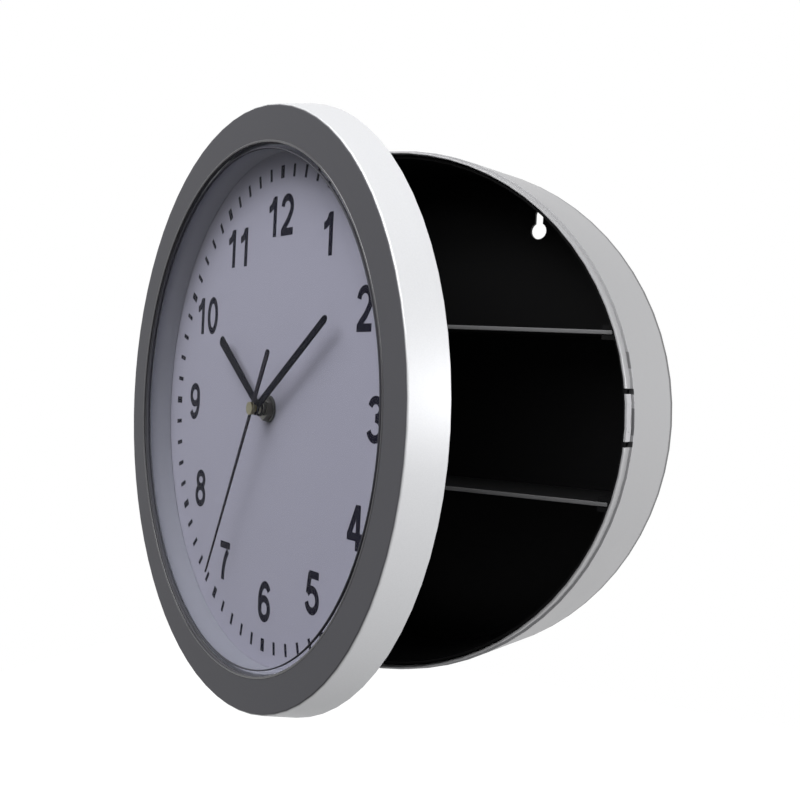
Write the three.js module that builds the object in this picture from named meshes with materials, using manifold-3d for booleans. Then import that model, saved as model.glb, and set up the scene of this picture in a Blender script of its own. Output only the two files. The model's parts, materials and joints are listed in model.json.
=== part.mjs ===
// A wall clock whose face is the door of a shallow round safe, hung open at its photographed angle.
// Millimetres, +Z up. The origin is the centre of the box's rear face, which lies on the wall;
// the clock looks along -Y. Everything on the door is drawn in the clock's own frame: the origin
// is the centre of its front face, x runs to three o'clock, z to twelve and y into the clock.

import * as THREE from "three";
import { mergeVertices } from "three/addons/utils/BufferGeometryUtils.js";
import Module from "manifold-3d";

const wasm = await Module();
wasm.setup();

// Clearances
const SEAT = 0.3; // between pieces that rest on each other
const FIT = 0.12; // round a shaft in its hole
const SEAM = 0.4; // between the door's rim and the box's step when shut

// Roundness
const BIG_SIDES = 72;
const SMALL_SIDES = 16;
const TINY_SIDES = 12;
const CORNER_SEGMENTS = 3;
const HOLE_SEGMENTS = 8;

// Door bezel
const RIM_RADIUS = 127.5;
const RIM_LAP = 7; // the rim stands out past the box
const FLARE = 2.5; // the face is smaller than the rim
const RING_THICK = 1.8;
const DOOR_WALL = 2.4;
const SEAT_RING = 1.5; // the ring inside the wall that meets the box's step
const REAR_EDGE = 0.1; // the bezel's wall ends behind the back plate
const EDGE_BREAK = 0.8;
const OPEN_ANGLE = 29;

// Box
const BOX_DEPTH = 61;
const BOX_DRAFT = 2.2; // the box widens this much towards the wall
const LIP_DEPTH = 6.5;
const LIP_STEP = 1.2;
const LIP_THICK = 1;
const LIP_CLEAR = 0.7;

// Liner and shelves
const LINER_SET_BACK = 3.8;
const LINER_GAP = 0.5;
const LINER_WALL = 1.2;
const LINER_BACK = 2;
const SHELF_THICK = 1.8;
const SHELF_SET_BACK = 9;
const SHELF_SIDE_GAP = 1.6;
const SHELF_BITE = 3.4; // how far a shelf's edge reaches into its groove
const UPPER_SHELF_Z = 40;
const LOWER_SHELF_Z = -33.5;
const RAIL_THICK = 2;

// Keyholes
const KEYHOLE_X = 52.5;
const KEYHOLE_EDGE = 3.2; // from the slot's top to the liner's wall above it
const KEYHOLE_RADIUS = 4;
const KEYHOLE_SLOT = 4;
const KEYHOLE_RISE = 8;

// Hinge
const KNUCKLE_RADIUS = 3;
const KNUCKLE_CLEAR = 0.5;
const DOOR_KNUCKLE_HALF = 15;
const KNUCKLE_GAP = 0.4;
const BOX_KNUCKLE = 12;
const KNUCKLE_WEB = 6;
const HINGE_PIN_RADIUS = 1;
const PIN_HEAD_LEDGE = 0.9;
const PIN_HEAD = 1.2;
const PIN_OVERHANG = 1.5;

// Catch
const CATCH_Z = 4.3;
const CATCH_HALF = 10;
const CATCH_NOTCH = 2.2;
const CATCH_PAD_INSET = 4;
const CATCH_PAD_RISE = 0.6;
const CATCH_PAD_Y = 1.4;
const CATCH_PAD_SLOPE = 0.8;
const CATCH_PAD_FLAT = 0.8;

// Lens, spacer, dial and back plate
const LENS_THICK = 1.2;
const LENS_CLEAR = 0.7; // from the lens to the second hand's cap
const DIAL_THICK = 0.8;
const DIAL_LAP = 1.3; // the ring covers this much of the dial's edge
const DIAL_CLEAR = 0.4;
const SPACER_WALL = 1.7;
const BACK_THICK = 1.6;
const BACK_CLEAR = 2.6; // from the back plate's edge to the box's lip when shut
const BACK_RIB = 1.5;
const BACK_RIB_INSET = 18.8;
const BACK_RIB_WIDTH = 2;

// Screws and their bosses
const SCREW_COUNT = 4;
const FIRST_SCREW_DIRECTION = 45;
const SCREW_SHANK = 0.9;
const SCREW_LENGTH = 8;
const SCREW_HEAD_LEDGE = 1.4;
const SCREW_HEAD_THICK = 1.4;
const BOSS_WALL = 1.1;
const BOSS_EDGE = 0.2;

// Movement case
const CASE_CORNER = 4;
const CASE_WALL = 1.5;
const PLATE_THICK = 1.5;
const PIVOT_DEPTH = 0.8;
const TRAIN_CLEAR = 0.8;
const BATTERY_RADIUS = 7.1;
const BATTERY_LENGTH = 48.5;
const BATTERY_NUB = 1.2;
const BATTERY_NUB_RADIUS = 2.7;
const BATTERY_CLEAR = 0.4;
const BAY_FLOOR = 0.8;
const CONTACT_THICK = 0.4;
const CONTACT_WIDTH = 8;
const SPRING_LENGTH = 3;
const SPRING_RADIUS = 3.6;
const SPRING_TIP_RADIUS = 2.2;
const SPRING_WIRE = 0.7;
const BOARD_WIDTH = 11;
const BOARD_HEIGHT = 13;
const BOARD_THICK = 1;
const COIL_LENGTH = 16;
const COIL_RADIUS = 2.4;
const COIL_FLANGE = 6.4;
const COIL_FLANGE_THICK = 1;

// Arbors, from the inside out
const SECOND_ARBOR = 0.5;
const ARBOR_CLEAR = 0.4;
const CANNON_WALL = 0.6;
const HOUR_TUBE_WALL = 0.6;
const BUSHING_WALL = 0.7;
const BUSHING_TIP = 0.4; // the bushing shows in front of its nut
const WASHER_THICK = 0.6;
const WASHER_WIDTH = 2.7;
const NUT_THICK = 2.2;
const NUT_WALL = 1.3;
const NUT_SIDES = 6;

// Hands and the time they show
const HAND_THICK = 0.6;
const HAND_GAP = 0.8; // in front of whatever lies behind the hand
const TUBE_PROUD = 0.4;
const SHOWN_HOUR = 10;
const SHOWN_MINUTE = 9.3;
const SHOWN_SECOND = 34.5;
const HOUR_HAND = { length: 51, root: 3.4, tip: 3.2, collar: 1 };
const MINUTE_HAND = { length: 68, root: 3.4, tip: 4, collar: 1.3 };
const SECOND_HAND = { length: 85.4, root: 1.7, tip: 1, tail: 25.7, tailRoot: 2.3, tailTip: 2.9 };
const SECOND_CAP_RADIUS = 2.75;
const SECOND_CAP_HEIGHT = 1.6;
const CAP_BORE = 0.8;

// Wheels: tooth counts, and tooth sizes in modules or shares of the tooth's pitch
const CANNON_TEETH = 10;
const MINUTE_WHEEL_TEETH = 30;
const MINUTE_PINION_TEETH = 8;
const HOUR_WHEEL_TEETH = 32;
const SETTING_TEETH = 12;
const SECOND_PINION_TEETH = 8;
const THIRD_WHEEL_TEETH = 60;
const THIRD_PINION_TEETH = 8;
const CENTRE_WHEEL_TEETH = 64;
const CENTRE_MODULE = 0.32;
const DEDENDUM = 1.1;
const ADDENDUM = 0.85;
const TOOTH_ROOT_HALF = 0.3;
const TOOTH_TIP_HALF = 0.09;
const TOOTH_SEAT = 0.06; // the cannon pinion's tooth roots stand clear of its tube
const WHEEL_THICK = 0.9;
const PINION_EXTRA = 0.5;
const LEVEL_GAP = 0.5;
const PINION_WALL = 0.36;
const MINUTE_WHEEL_DIRECTION = 135;
const THIRD_WHEEL_DIRECTION = 45;
const SETTING_DIRECTION = 135;

// Setting knob
const KNOB_RADIUS = 6;
const KNOB_THICK = 3.6;
const KNOB_FLUTES = 12;
const FLUTE_RADIUS = 0.9;
const FLUTE_OUTSET = 0.3;
const FLUTE_SIDES = 6;
const SETTING_SHAFT = 1.5;
const SETTING_HUB_WALL = 0.58;

const degrees = THREE.MathUtils.degToRad;

// The box and its lip, from the door's rim inwards
const boxRadius = RIM_RADIUS - RIM_LAP;
const faceRadius = RIM_RADIUS - FLARE;
const lipOuter = boxRadius - LIP_STEP;
const doorInner = lipOuter + LIP_CLEAR;
const lipInner = lipOuter - LIP_THICK;
const linerOuter = lipInner - LINER_GAP;
const linerInner = linerOuter - LINER_WALL;
const railReach = SHELF_SIDE_GAP + SHELF_BITE;
const wallAboveSlot = Math.sqrt(linerInner ** 2 - (KEYHOLE_X + KEYHOLE_SLOT / 2) ** 2);
const keyholeZ = wallAboveSlot - KEYHOLE_EDGE - KEYHOLE_SLOT / 2 - KEYHOLE_RISE;

// The door's round pieces, from the lip inwards
const backRadius = lipInner - BACK_CLEAR;
const bossRadius = SCREW_SHANK + FIT + BOSS_WALL;
const bossCircle = backRadius - BOSS_EDGE - bossRadius;
const dialRadius = bossCircle - bossRadius - DIAL_CLEAR;
const windowRadius = dialRadius - DIAL_LAP;

// The arbors
const cannonInner = SECOND_ARBOR + ARBOR_CLEAR;
const cannonOuter = cannonInner + CANNON_WALL;
const hourInner = cannonOuter + FIT;
const hourOuter = hourInner + HOUR_TUBE_WALL;
const bushingInner = hourOuter + FIT;
const bushingRadius = bushingInner + BUSHING_WALL;

// Heights in front of the dial
const nutHeight = SEAT + WASHER_THICK + SEAT;
const bushingHeight = nutHeight + NUT_THICK + BUSHING_TIP;
const hourHandHeight = bushingHeight + HAND_GAP;
const minuteHandHeight = hourHandHeight + HAND_THICK + TUBE_PROUD + HAND_GAP;
const secondHandHeight = minuteHandHeight + HAND_THICK + TUBE_PROUD + HAND_GAP;

// Depths behind the door's front face
const lensY = RING_THICK + SEAT;
const spacerY = lensY + LENS_THICK + SEAT;
const dialY = lensY + LENS_THICK + LENS_CLEAR + SECOND_CAP_HEIGHT + secondHandHeight;
const backY = dialY + DIAL_THICK + SEAT;
const doorDepth = backY + BACK_THICK + REAR_EDGE;
const plateY = backY + BACK_THICK + SEAT;
const caseY = plateY + PLATE_THICK + SEAT;
const hourLevel = caseY + LEVEL_GAP / 2;
const cannonLevel = hourLevel + WHEEL_THICK + PINION_EXTRA + LEVEL_GAP;
const centreLevel = cannonLevel + WHEEL_THICK + PINION_EXTRA + LEVEL_GAP;
const thirdLevel = centreLevel + WHEEL_THICK + PINION_EXTRA + LEVEL_GAP;
const trainRear = thirdLevel + WHEEL_THICK + PINION_EXTRA + TRAIN_CLEAR;
const bayDepth = 2 * (BATTERY_RADIUS + BATTERY_CLEAR);
const caseRearY = Math.max(caseY + BAY_FLOOR + bayDepth, trainRear + CASE_WALL);
const rearWallY = caseRearY - CASE_WALL;

// The hinge's axis, in the clock's frame, in the box's and in the part's
const hingeX = RIM_RADIUS + KNUCKLE_CLEAR + KNUCKLE_RADIUS;
const seamY = doorDepth + SEAM / 2;
const stepY = LIP_DEPTH;
const hingeY = stepY - SEAM / 2;

// The wheels' modules and centres
const MOTION_MODULE = (cannonOuter + TOOTH_SEAT) / (CANNON_TEETH / 2 - DEDENDUM);
const HOUR_MODULE =
  (MOTION_MODULE * (CANNON_TEETH + MINUTE_WHEEL_TEETH)) / (MINUTE_PINION_TEETH + HOUR_WHEEL_TEETH);
const THIRD_MODULE =
  (CENTRE_MODULE * (CENTRE_WHEEL_TEETH + THIRD_PINION_TEETH)) / (THIRD_WHEEL_TEETH + SECOND_PINION_TEETH);
const minuteWheelAt = pairCentre(CANNON_TEETH, MINUTE_WHEEL_TEETH, MOTION_MODULE, MINUTE_WHEEL_DIRECTION);
const thirdWheelAt = pairCentre(SECOND_PINION_TEETH, THIRD_WHEEL_TEETH, THIRD_MODULE, THIRD_WHEEL_DIRECTION);
const settingAt = pairCentre(MINUTE_WHEEL_TEETH, SETTING_TEETH, MOTION_MODULE, SETTING_DIRECTION);
settingAt.add(minuteWheelAt);
const minuteWheelBore = rootRadius(MINUTE_PINION_TEETH, HOUR_MODULE) - PINION_WALL;
const settingSpigot = SETTING_SHAFT - SETTING_HUB_WALL - FIT;

// The case's chamber and battery bay
const thirdTip = tipRadius(THIRD_WHEEL_TEETH, THIRD_MODULE) + TRAIN_CLEAR;
const centreTip = tipRadius(CENTRE_WHEEL_TEETH, CENTRE_MODULE) + TRAIN_CLEAR;
const bayHalf = (BATTERY_LENGTH + SPRING_LENGTH + 2 * CONTACT_THICK) / 2 + 2 * SEAT;
const caseHalf = Math.max(bayHalf, thirdWheelAt.x + thirdTip, KNOB_RADIUS - settingAt.x) + CASE_WALL;
const chamberHalf = caseHalf - CASE_WALL;
const chamberFloorZ = -Math.max(centreTip, thirdTip - thirdWheelAt.y);
const coilZ = Math.max(thirdWheelAt.y + thirdTip, settingAt.y + KNOB_RADIUS) + COIL_FLANGE / 2;
const chamberTopZ = coilZ + COIL_FLANGE / 2 + SEAT;
const caseTopZ = chamberTopZ + CASE_WALL;
const bayTopZ = chamberFloorZ - CASE_WALL;
const caseBottomZ = bayTopZ - bayDepth - CASE_WALL;
const batteryZ = bayTopZ - BATTERY_CLEAR - BATTERY_RADIUS;
const batteryY = caseRearY - BATTERY_CLEAR - BATTERY_RADIUS;
const batteryX = bayHalf - 2 * SEAT - CONTACT_THICK - BATTERY_LENGTH / 2;

// Geometry helpers

function polar(radius, angle) {
  return new THREE.Vector2(radius * Math.cos(degrees(angle)), radius * Math.sin(degrees(angle)));
}

// Where a wheel's centre lies that meshes with one at the origin.
function pairCentre(teeth, otherTeeth, module, direction) {
  return polar(((teeth + otherTeeth) * module) / 2, direction);
}

function rootRadius(teeth, module) {
  return (teeth / 2 - DEDENDUM) * module;
}

function tipRadius(teeth, module) {
  return (teeth / 2 + ADDENDUM) * module;
}

// The solid inside a closed geometry.
function solid(geometry) {
  const bare = geometry.clone();
  bare.deleteAttribute("normal");
  bare.deleteAttribute("uv");
  const merged = mergeVertices(bare, 1e-4);
  return new wasm.Manifold(
    new wasm.Mesh({
      numProp: 3,
      vertProperties: new Float32Array(merged.attributes.position.array),
      triVerts: new Uint32Array(merged.index.array),
    }),
  );
}

function geometryOf(body) {
  const mesh = body.getMesh();
  const geometry = new THREE.BufferGeometry();
  geometry.setAttribute("position", new THREE.BufferAttribute(new Float32Array(mesh.vertProperties), 3));
  geometry.setIndex(new THREE.BufferAttribute(new Uint32Array(mesh.triVerts), 1));
  geometry.computeVertexNormals();
  return geometry;
}

function joined(...geometries) {
  return geometryOf(geometries.map(solid).reduce((sum, next) => sum.add(next)));
}

function cut(geometry, ...tools) {
  return geometryOf(tools.map(solid).reduce((rest, tool) => rest.subtract(tool), solid(geometry)));
}

function common(geometry, other) {
  return geometryOf(solid(geometry).intersect(solid(other)));
}

// A closed profile of [radius, y] points turned about the clock's axis.
function revolve(profile, sides = BIG_SIDES) {
  const points = profile.map(([radius, y]) => new THREE.Vector2(radius, y));
  if (THREE.ShapeUtils.isClockWise(points)) points.reverse();
  if (points[0].x > 0 || points.at(-1).x > 0) points.push(points[0].clone());
  return new THREE.LatheGeometry(points, sides);
}

function rod(radius, y0, y1, sides = SMALL_SIDES) {
  const geometry = new THREE.CylinderGeometry(radius, radius, Math.abs(y1 - y0), sides);
  return geometry.translate(0, (y0 + y1) / 2, 0);
}

// A shape drawn in x and z, made solid from y0 to y1.
function plate(shape, y0, y1, curveSegments = CORNER_SEGMENTS) {
  const settings = { depth: y1 - y0, bevelEnabled: false, curveSegments };
  const geometry = new THREE.ExtrudeGeometry(shape, settings);
  return geometry.rotateX(Math.PI / 2).translate(0, y1, 0);
}

// A round bar along z.
function upright(radius, z0, z1, x, y, sides = TINY_SIDES) {
  return rod(radius, z0, z1, sides).rotateX(Math.PI / 2).translate(x, y, 0);
}

function block(x0, x1, y0, y1, z0, z1) {
  const geometry = new THREE.BoxGeometry(Math.abs(x1 - x0), Math.abs(y1 - y0), Math.abs(z1 - z0));
  return geometry.translate((x0 + x1) / 2, (y0 + y1) / 2, (z0 + z1) / 2);
}

// The movement's outline, seen from the front.
function caseShape() {
  const x = caseHalf - CASE_CORNER;
  const top = caseTopZ - CASE_CORNER;
  const bottom = caseBottomZ + CASE_CORNER;
  const quarter = Math.PI / 2;
  const shape = new THREE.Shape();
  shape.absarc(x, top, CASE_CORNER, 0, quarter);
  shape.absarc(-x, top, CASE_CORNER, quarter, 2 * quarter);
  shape.absarc(-x, bottom, CASE_CORNER, 2 * quarter, 3 * quarter);
  shape.absarc(x, bottom, CASE_CORNER, 3 * quarter, 4 * quarter);
  return shape;
}

// A gear's outline; a tooth's centre lies at the angle phase, in radians from x towards z.
function gearShape(teeth, module, phase) {
  const root = rootRadius(teeth, module);
  const tip = tipRadius(teeth, module);
  const pitch = (2 * Math.PI) / teeth;
  const corners = [
    [root, -TOOTH_ROOT_HALF],
    [tip, -TOOTH_TIP_HALF],
    [tip, TOOTH_TIP_HALF],
    [root, TOOTH_ROOT_HALF],
  ];
  const points = [];
  for (let tooth = 0; tooth < teeth; tooth++) {
    for (const [radius, offset] of corners) {
      const angle = phase + (tooth + offset) * pitch;
      points.push(new THREE.Vector2(radius * Math.cos(angle), radius * Math.sin(angle)));
    }
  }
  return new THREE.Shape(points);
}

function gear(teeth, module, phase, y0, thick = WHEEL_THICK) {
  return plate(gearShape(teeth, module, phase), y0, y0 + thick);
}

// The phase of a gear that points a gap back along the line of centres, at the other gear's tooth.
function gapBack(direction, teeth) {
  return degrees(direction) + Math.PI + Math.PI / teeth;
}

// The phase of a gear that meshes with a wheel whose tooth lies at wheelPhase.
function phaseAgainst(wheelTeeth, wheelPhase, direction, teeth) {
  const pitch = (2 * Math.PI) / wheelTeeth;
  const offset = (wheelPhase - degrees(direction)) % pitch;
  return gapBack(direction, teeth) - (offset * wheelTeeth) / teeth;
}

function material(color, roughness, metalness = 0, opacity = 1) {
  return new THREE.MeshStandardMaterial({ color, roughness, metalness, opacity, transparent: opacity < 1 });
}

const silverPaint = material(0xc9cacc, 0.42, 0.35);
const blackPlastic = material(0x0c0c0d, 0.45);
const greyPlastic = material(0x2a2a2c, 0.5);
const dialPaper = material(0xd9d9de, 0.75);
const clearPlastic = material(0xf4f7f8, 0.05, 0, 0.25);
const handBlack = material(0x17171b, 0.4);
const brass = material(0xb59a5a, 0.3, 1);
const steel = material(0xb8babd, 0.3, 1);
const rubber = material(0x1b1b1b, 0.8);
const wheelPlastic = material(0xe6e2d6, 0.5);
const batteryGreen = material(0x3f7d5a, 0.4, 0.2);
const boardGreen = material(0x1f5b3a, 0.5);
const copper = material(0xb4693a, 0.35, 1);

function mesh(name, geometry, surface) {
  const made = new THREE.Mesh(geometry, surface);
  made.name = name;
  return made;
}

// Pieces of the box, drawn with y = 0 at the lip's front edge

function boxShell() {
  const ring = revolve([
    [lipInner, 0],
    [lipOuter - EDGE_BREAK / 2, 0],
    [lipOuter, EDGE_BREAK / 2],
    [lipOuter, stepY],
    [boxRadius, stepY],
    [boxRadius + BOX_DRAFT, BOX_DEPTH - EDGE_BREAK],
    [boxRadius + BOX_DRAFT - EDGE_BREAK, BOX_DEPTH],
    [lipInner, BOX_DEPTH],
  ]);
  const knuckles = [-1, 1].map((side) => boxKnuckle(side));
  const inside = revolve([
    [0, -SEAT],
    [lipInner, -SEAT],
    [lipInner, BOX_DEPTH + SEAT],
    [0, BOX_DEPTH + SEAT],
  ]);
  const window = lipSlice(CATCH_HALF + CATCH_NOTCH);
  const pinHole = upright(HINGE_PIN_RADIUS + FIT, -BOX_DEPTH, BOX_DEPTH, -hingeX, hingeY);
  return cut(joined(ring, ...knuckles.map((knuckle) => cut(knuckle, inside))), window, pinHole);
}

function boxKnuckle(side) {
  const z0 = side * (DOOR_KNUCKLE_HALF + KNUCKLE_GAP);
  const z1 = z0 + side * BOX_KNUCKLE;
  const web = block(-hingeX, -linerInner, stepY, stepY + KNUCKLE_WEB, z0, z1);
  return joined(upright(KNUCKLE_RADIUS, z0, z1, -hingeX, hingeY, SMALL_SIDES), web);
}

// The stretch of the lip within a height of the catch's middle.
function lipSlice(half) {
  return block(linerInner, boxRadius + CATCH_PAD_RISE, -SEAT, stepY + SEAT, CATCH_Z - half, CATCH_Z + half);
}

function boxLiner() {
  const wall = revolve([
    [0, BOX_DEPTH - LINER_BACK],
    [linerInner, BOX_DEPTH - LINER_BACK],
    [linerInner, LINER_SET_BACK],
    [linerOuter, LINER_SET_BACK],
    [linerOuter, BOX_DEPTH - LINER_BACK],
    [lipInner - SEAT, BOX_DEPTH - LINER_BACK],
    [lipInner - SEAT, BOX_DEPTH],
    [0, BOX_DEPTH],
  ]);
  const rails = [UPPER_SHELF_Z, LOWER_SHELF_Z].flatMap((z) => [-1, 1].map((side) => shelfRail(z, side)));
  const keyholes = [-1, 1].map((side) => keyhole(side * KEYHOLE_X));
  return cut(joined(wall, ...rails), ...keyholes);
}

function shelfHalfWidth(z) {
  return Math.sqrt(linerInner ** 2 - z ** 2);
}

// The grooved rib that carries one end of a shelf.
function shelfRail(z, side) {
  const half = SHELF_THICK / 2 + SEAT;
  const outer = half + RAIL_THICK;
  const y0 = SHELF_SET_BACK;
  const y1 = BOX_DEPTH - LINER_BACK / 2;
  const reach = shelfHalfWidth(Math.abs(z) + outer) - railReach;
  const rib = block(side * reach, side * linerOuter, y0, y1, z - outer, z + outer);
  const grooveEnd = shelfHalfWidth(z) - SHELF_SIDE_GAP + SEAT;
  const groove = block(side * (reach - SEAT), side * grooveEnd, y0 - SEAT, y1 + SEAT, z - half, z + half);
  const disc = rod((linerInner + linerOuter) / 2, y0 - SEAT, y1 + SEAT, BIG_SIDES);
  return common(cut(rib, groove), disc);
}

function keyhole(x) {
  const shape = new THREE.Shape();
  const slotHalf = KEYHOLE_SLOT / 2;
  const meet = Math.asin(slotHalf / KEYHOLE_RADIUS);
  shape.absarc(0, 0, KEYHOLE_RADIUS, Math.PI / 2 + meet, Math.PI * 2.5 - meet);
  shape.absarc(0, KEYHOLE_RISE, slotHalf, 0, Math.PI);
  const y0 = BOX_DEPTH - LINER_BACK - SEAT;
  return plate(shape, y0, BOX_DEPTH + SEAT, HOLE_SEGMENTS).translate(x, 0, keyholeZ);
}

function shelf(z) {
  const half = shelfHalfWidth(z) - SHELF_SIDE_GAP;
  const y1 = BOX_DEPTH - LINER_BACK - SEAT;
  return block(-half, half, SHELF_SET_BACK, y1, z - SHELF_THICK / 2, z + SHELF_THICK / 2);
}

// The springy tongue in the lip, with the pad that the door snaps over.
function catchTab() {
  const ring = revolve([
    [lipInner, 0],
    [lipOuter, 0],
    [lipOuter, stepY],
    [lipInner, stepY],
  ]);
  const root = lipOuter - LIP_THICK / 2;
  const crest = lipOuter + CATCH_PAD_RISE;
  const pad = revolve([
    [root, CATCH_PAD_Y],
    [lipOuter, CATCH_PAD_Y],
    [crest, CATCH_PAD_Y + CATCH_PAD_SLOPE],
    [crest, CATCH_PAD_Y + CATCH_PAD_SLOPE + CATCH_PAD_FLAT],
    [lipOuter, CATCH_PAD_Y + CATCH_PAD_SLOPE * 2 + CATCH_PAD_FLAT],
    [root, CATCH_PAD_Y + CATCH_PAD_SLOPE * 2 + CATCH_PAD_FLAT],
  ]);
  return joined(common(ring, lipSlice(CATCH_HALF)), common(pad, lipSlice(CATCH_HALF - CATCH_PAD_INSET)));
}

function hingePin() {
  const end = DOOR_KNUCKLE_HALF + KNUCKLE_GAP + BOX_KNUCKLE;
  const headZ = end + SEAT;
  return joined(
    upright(HINGE_PIN_RADIUS, -end - PIN_OVERHANG, headZ + PIN_HEAD / 2, -hingeX, hingeY),
    upright(HINGE_PIN_RADIUS + PIN_HEAD_LEDGE, headZ, headZ + PIN_HEAD, -hingeX, hingeY),
  );
}

// Pieces of the door, drawn in the clock's frame

function screwPlaces() {
  return Array.from({ length: SCREW_COUNT }, (_, index) =>
    polar(bossCircle, FIRST_SCREW_DIRECTION + (index * 360) / SCREW_COUNT),
  );
}

// The ring, the flared wall and, inside it, the ring that seats on the box's step.
function doorBezel() {
  const body = revolve([
    [windowRadius, EDGE_BREAK],
    [windowRadius + EDGE_BREAK, 0],
    [faceRadius - EDGE_BREAK, 0],
    [faceRadius, EDGE_BREAK],
    [RIM_RADIUS, doorDepth - EDGE_BREAK],
    [RIM_RADIUS - EDGE_BREAK, doorDepth],
    [doorInner, doorDepth],
    [doorInner, RING_THICK],
    [windowRadius, RING_THICK],
  ]);
  const wallInside = revolve([
    [0, RING_THICK],
    [faceRadius - DOOR_WALL, RING_THICK],
    [RIM_RADIUS - DOOR_WALL, doorDepth + SEAT],
    [0, doorDepth + SEAT],
  ]);
  const groove = cut(wallInside, rod(doorInner + SEAT_RING, 0, doorDepth + SEAM, BIG_SIDES));
  const bosses = screwPlaces().map((at) =>
    rod(bossRadius, RING_THICK / 2, backY - SEAT).translate(at.x, 0, at.y),
  );
  const pilots = screwPlaces().map((at) =>
    rod(SCREW_SHANK + FIT, backY - SCREW_LENGTH - SEAT, backY, TINY_SIDES).translate(at.x, 0, at.y),
  );
  const half = DOOR_KNUCKLE_HALF;
  const web = block(-hingeX, -doorInner, doorDepth - KNUCKLE_WEB, doorDepth, -half, half);
  const knuckle = joined(upright(KNUCKLE_RADIUS, -half, half, -hingeX, seamY, SMALL_SIDES), web);
  const inside = rod(doorInner, RING_THICK, doorDepth + KNUCKLE_RADIUS + SEAM, BIG_SIDES);
  const pinHole = upright(HINGE_PIN_RADIUS + FIT, -half - SEAT, half + SEAT, -hingeX, seamY);
  return cut(joined(cut(body, groove), cut(knuckle, inside), ...bosses), pinHole, ...pilots);
}

function lens() {
  return rod(dialRadius, lensY, lensY + LENS_THICK, BIG_SIDES);
}

function spacerRing() {
  return revolve([
    [dialRadius - SPACER_WALL, spacerY],
    [dialRadius, spacerY],
    [dialRadius, dialY - SEAT],
    [dialRadius - SPACER_WALL - EDGE_BREAK, dialY - SEAT],
  ]);
}

function dial() {
  const disc = rod(dialRadius, dialY, dialY + DIAL_THICK, BIG_SIDES);
  return cut(disc, rod(bushingRadius + FIT, dialY - SEAT, backY));
}

// The moulded plate behind the dial, with a stiffening ring and the screws' holes.
function doorBack() {
  const rearY = backY + BACK_THICK;
  const ribOuter = backRadius - BACK_RIB_INSET;
  const ribInner = ribOuter - BACK_RIB_WIDTH;
  const disc = revolve([
    [0, backY],
    [backRadius, backY],
    [backRadius, rearY],
    [ribOuter, rearY],
    [ribOuter, rearY + BACK_RIB],
    [ribInner, rearY + BACK_RIB],
    [ribInner, rearY],
    [0, rearY],
  ]);
  const bushingHole = rod(bushingRadius + FIT, backY - SEAT, plateY);
  const holes = screwPlaces().map((at) =>
    rod(SCREW_SHANK + FIT, backY - SEAT, rearY + SEAT, TINY_SIDES).translate(at.x, 0, at.y),
  );
  return cut(disc, bushingHole, ...holes);
}

function backScrew(at) {
  const headY = backY + BACK_THICK + SEAT;
  const headRadius = SCREW_SHANK + SCREW_HEAD_LEDGE;
  const profile = [
    [0, headY - SCREW_LENGTH],
    [SCREW_SHANK, headY - SCREW_LENGTH + SCREW_SHANK],
    [SCREW_SHANK, headY],
    [headRadius, headY],
    [headRadius, headY + SCREW_HEAD_THICK / 2],
    [headRadius / 2, headY + SCREW_HEAD_THICK],
    [0, headY + SCREW_HEAD_THICK],
  ];
  return revolve(profile, TINY_SIDES).translate(at.x, 0, at.y);
}

// The movement's front plate: its bushing passes through the dial, and it carries the fixed pivots.
function movementPlate() {
  const rearY = plateY + PLATE_THICK;
  const middleY = plateY + PLATE_THICK / 2;
  const bushingFront = dialY - bushingHeight;
  const sheet = plate(caseShape(), plateY, rearY);
  const bushing = rod(bushingRadius, bushingFront, middleY);
  const bore = rod(bushingInner, bushingFront - SEAT, rearY + SEAT);
  const stud = rod(minuteWheelBore - FIT, middleY, cannonLevel + WHEEL_THICK + PINION_EXTRA, TINY_SIDES);
  stud.translate(minuteWheelAt.x, 0, minuteWheelAt.y);
  const socket = rod(SECOND_ARBOR + FIT, rearY - PIVOT_DEPTH, rearY + SEAT, TINY_SIDES);
  socket.translate(thirdWheelAt.x, 0, thirdWheelAt.y);
  return cut(joined(sheet, bushing, stud), bore, socket);
}

// The movement's case: a chamber for the wheels, open to the plate, and a battery bay open to the rear.
function movementCase() {
  const outer = plate(caseShape(), caseY, caseRearY);
  const chamber = block(-chamberHalf, chamberHalf, caseY - SEAT, rearWallY, chamberFloorZ, chamberTopZ);
  const bay = block(-bayHalf, bayHalf, caseRearY - bayDepth, caseRearY + SEAT, bayTopZ - bayDepth, bayTopZ);
  const shaftHole = rod(SETTING_SHAFT + FIT, rearWallY - SEAT, caseRearY + SEAT);
  shaftHole.translate(settingAt.x, 0, settingAt.y);
  const sockets = [new THREE.Vector2(), thirdWheelAt].map((at) =>
    rod(SECOND_ARBOR + FIT, rearWallY - SEAT, rearWallY + PIVOT_DEPTH, TINY_SIDES).translate(at.x, 0, at.y),
  );
  return cut(outer, chamber, bay, shaftHole, ...sockets);
}

function bushingWasher() {
  const inner = bushingRadius + FIT;
  return revolve(
    [
      [inner, dialY - SEAT - WASHER_THICK],
      [inner + WASHER_WIDTH, dialY - SEAT - WASHER_THICK],
      [inner + WASHER_WIDTH, dialY - SEAT],
      [inner, dialY - SEAT],
    ],
    SMALL_SIDES,
  );
}

function bushingNut() {
  const inner = bushingRadius + FIT;
  const rear = dialY - nutHeight;
  const front = rear - NUT_THICK;
  const corner = (inner + NUT_WALL) / Math.cos(Math.PI / NUT_SIDES);
  return cut(rod(corner, front, rear, NUT_SIDES), rod(inner, front - SEAT, rear + SEAT));
}

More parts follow.
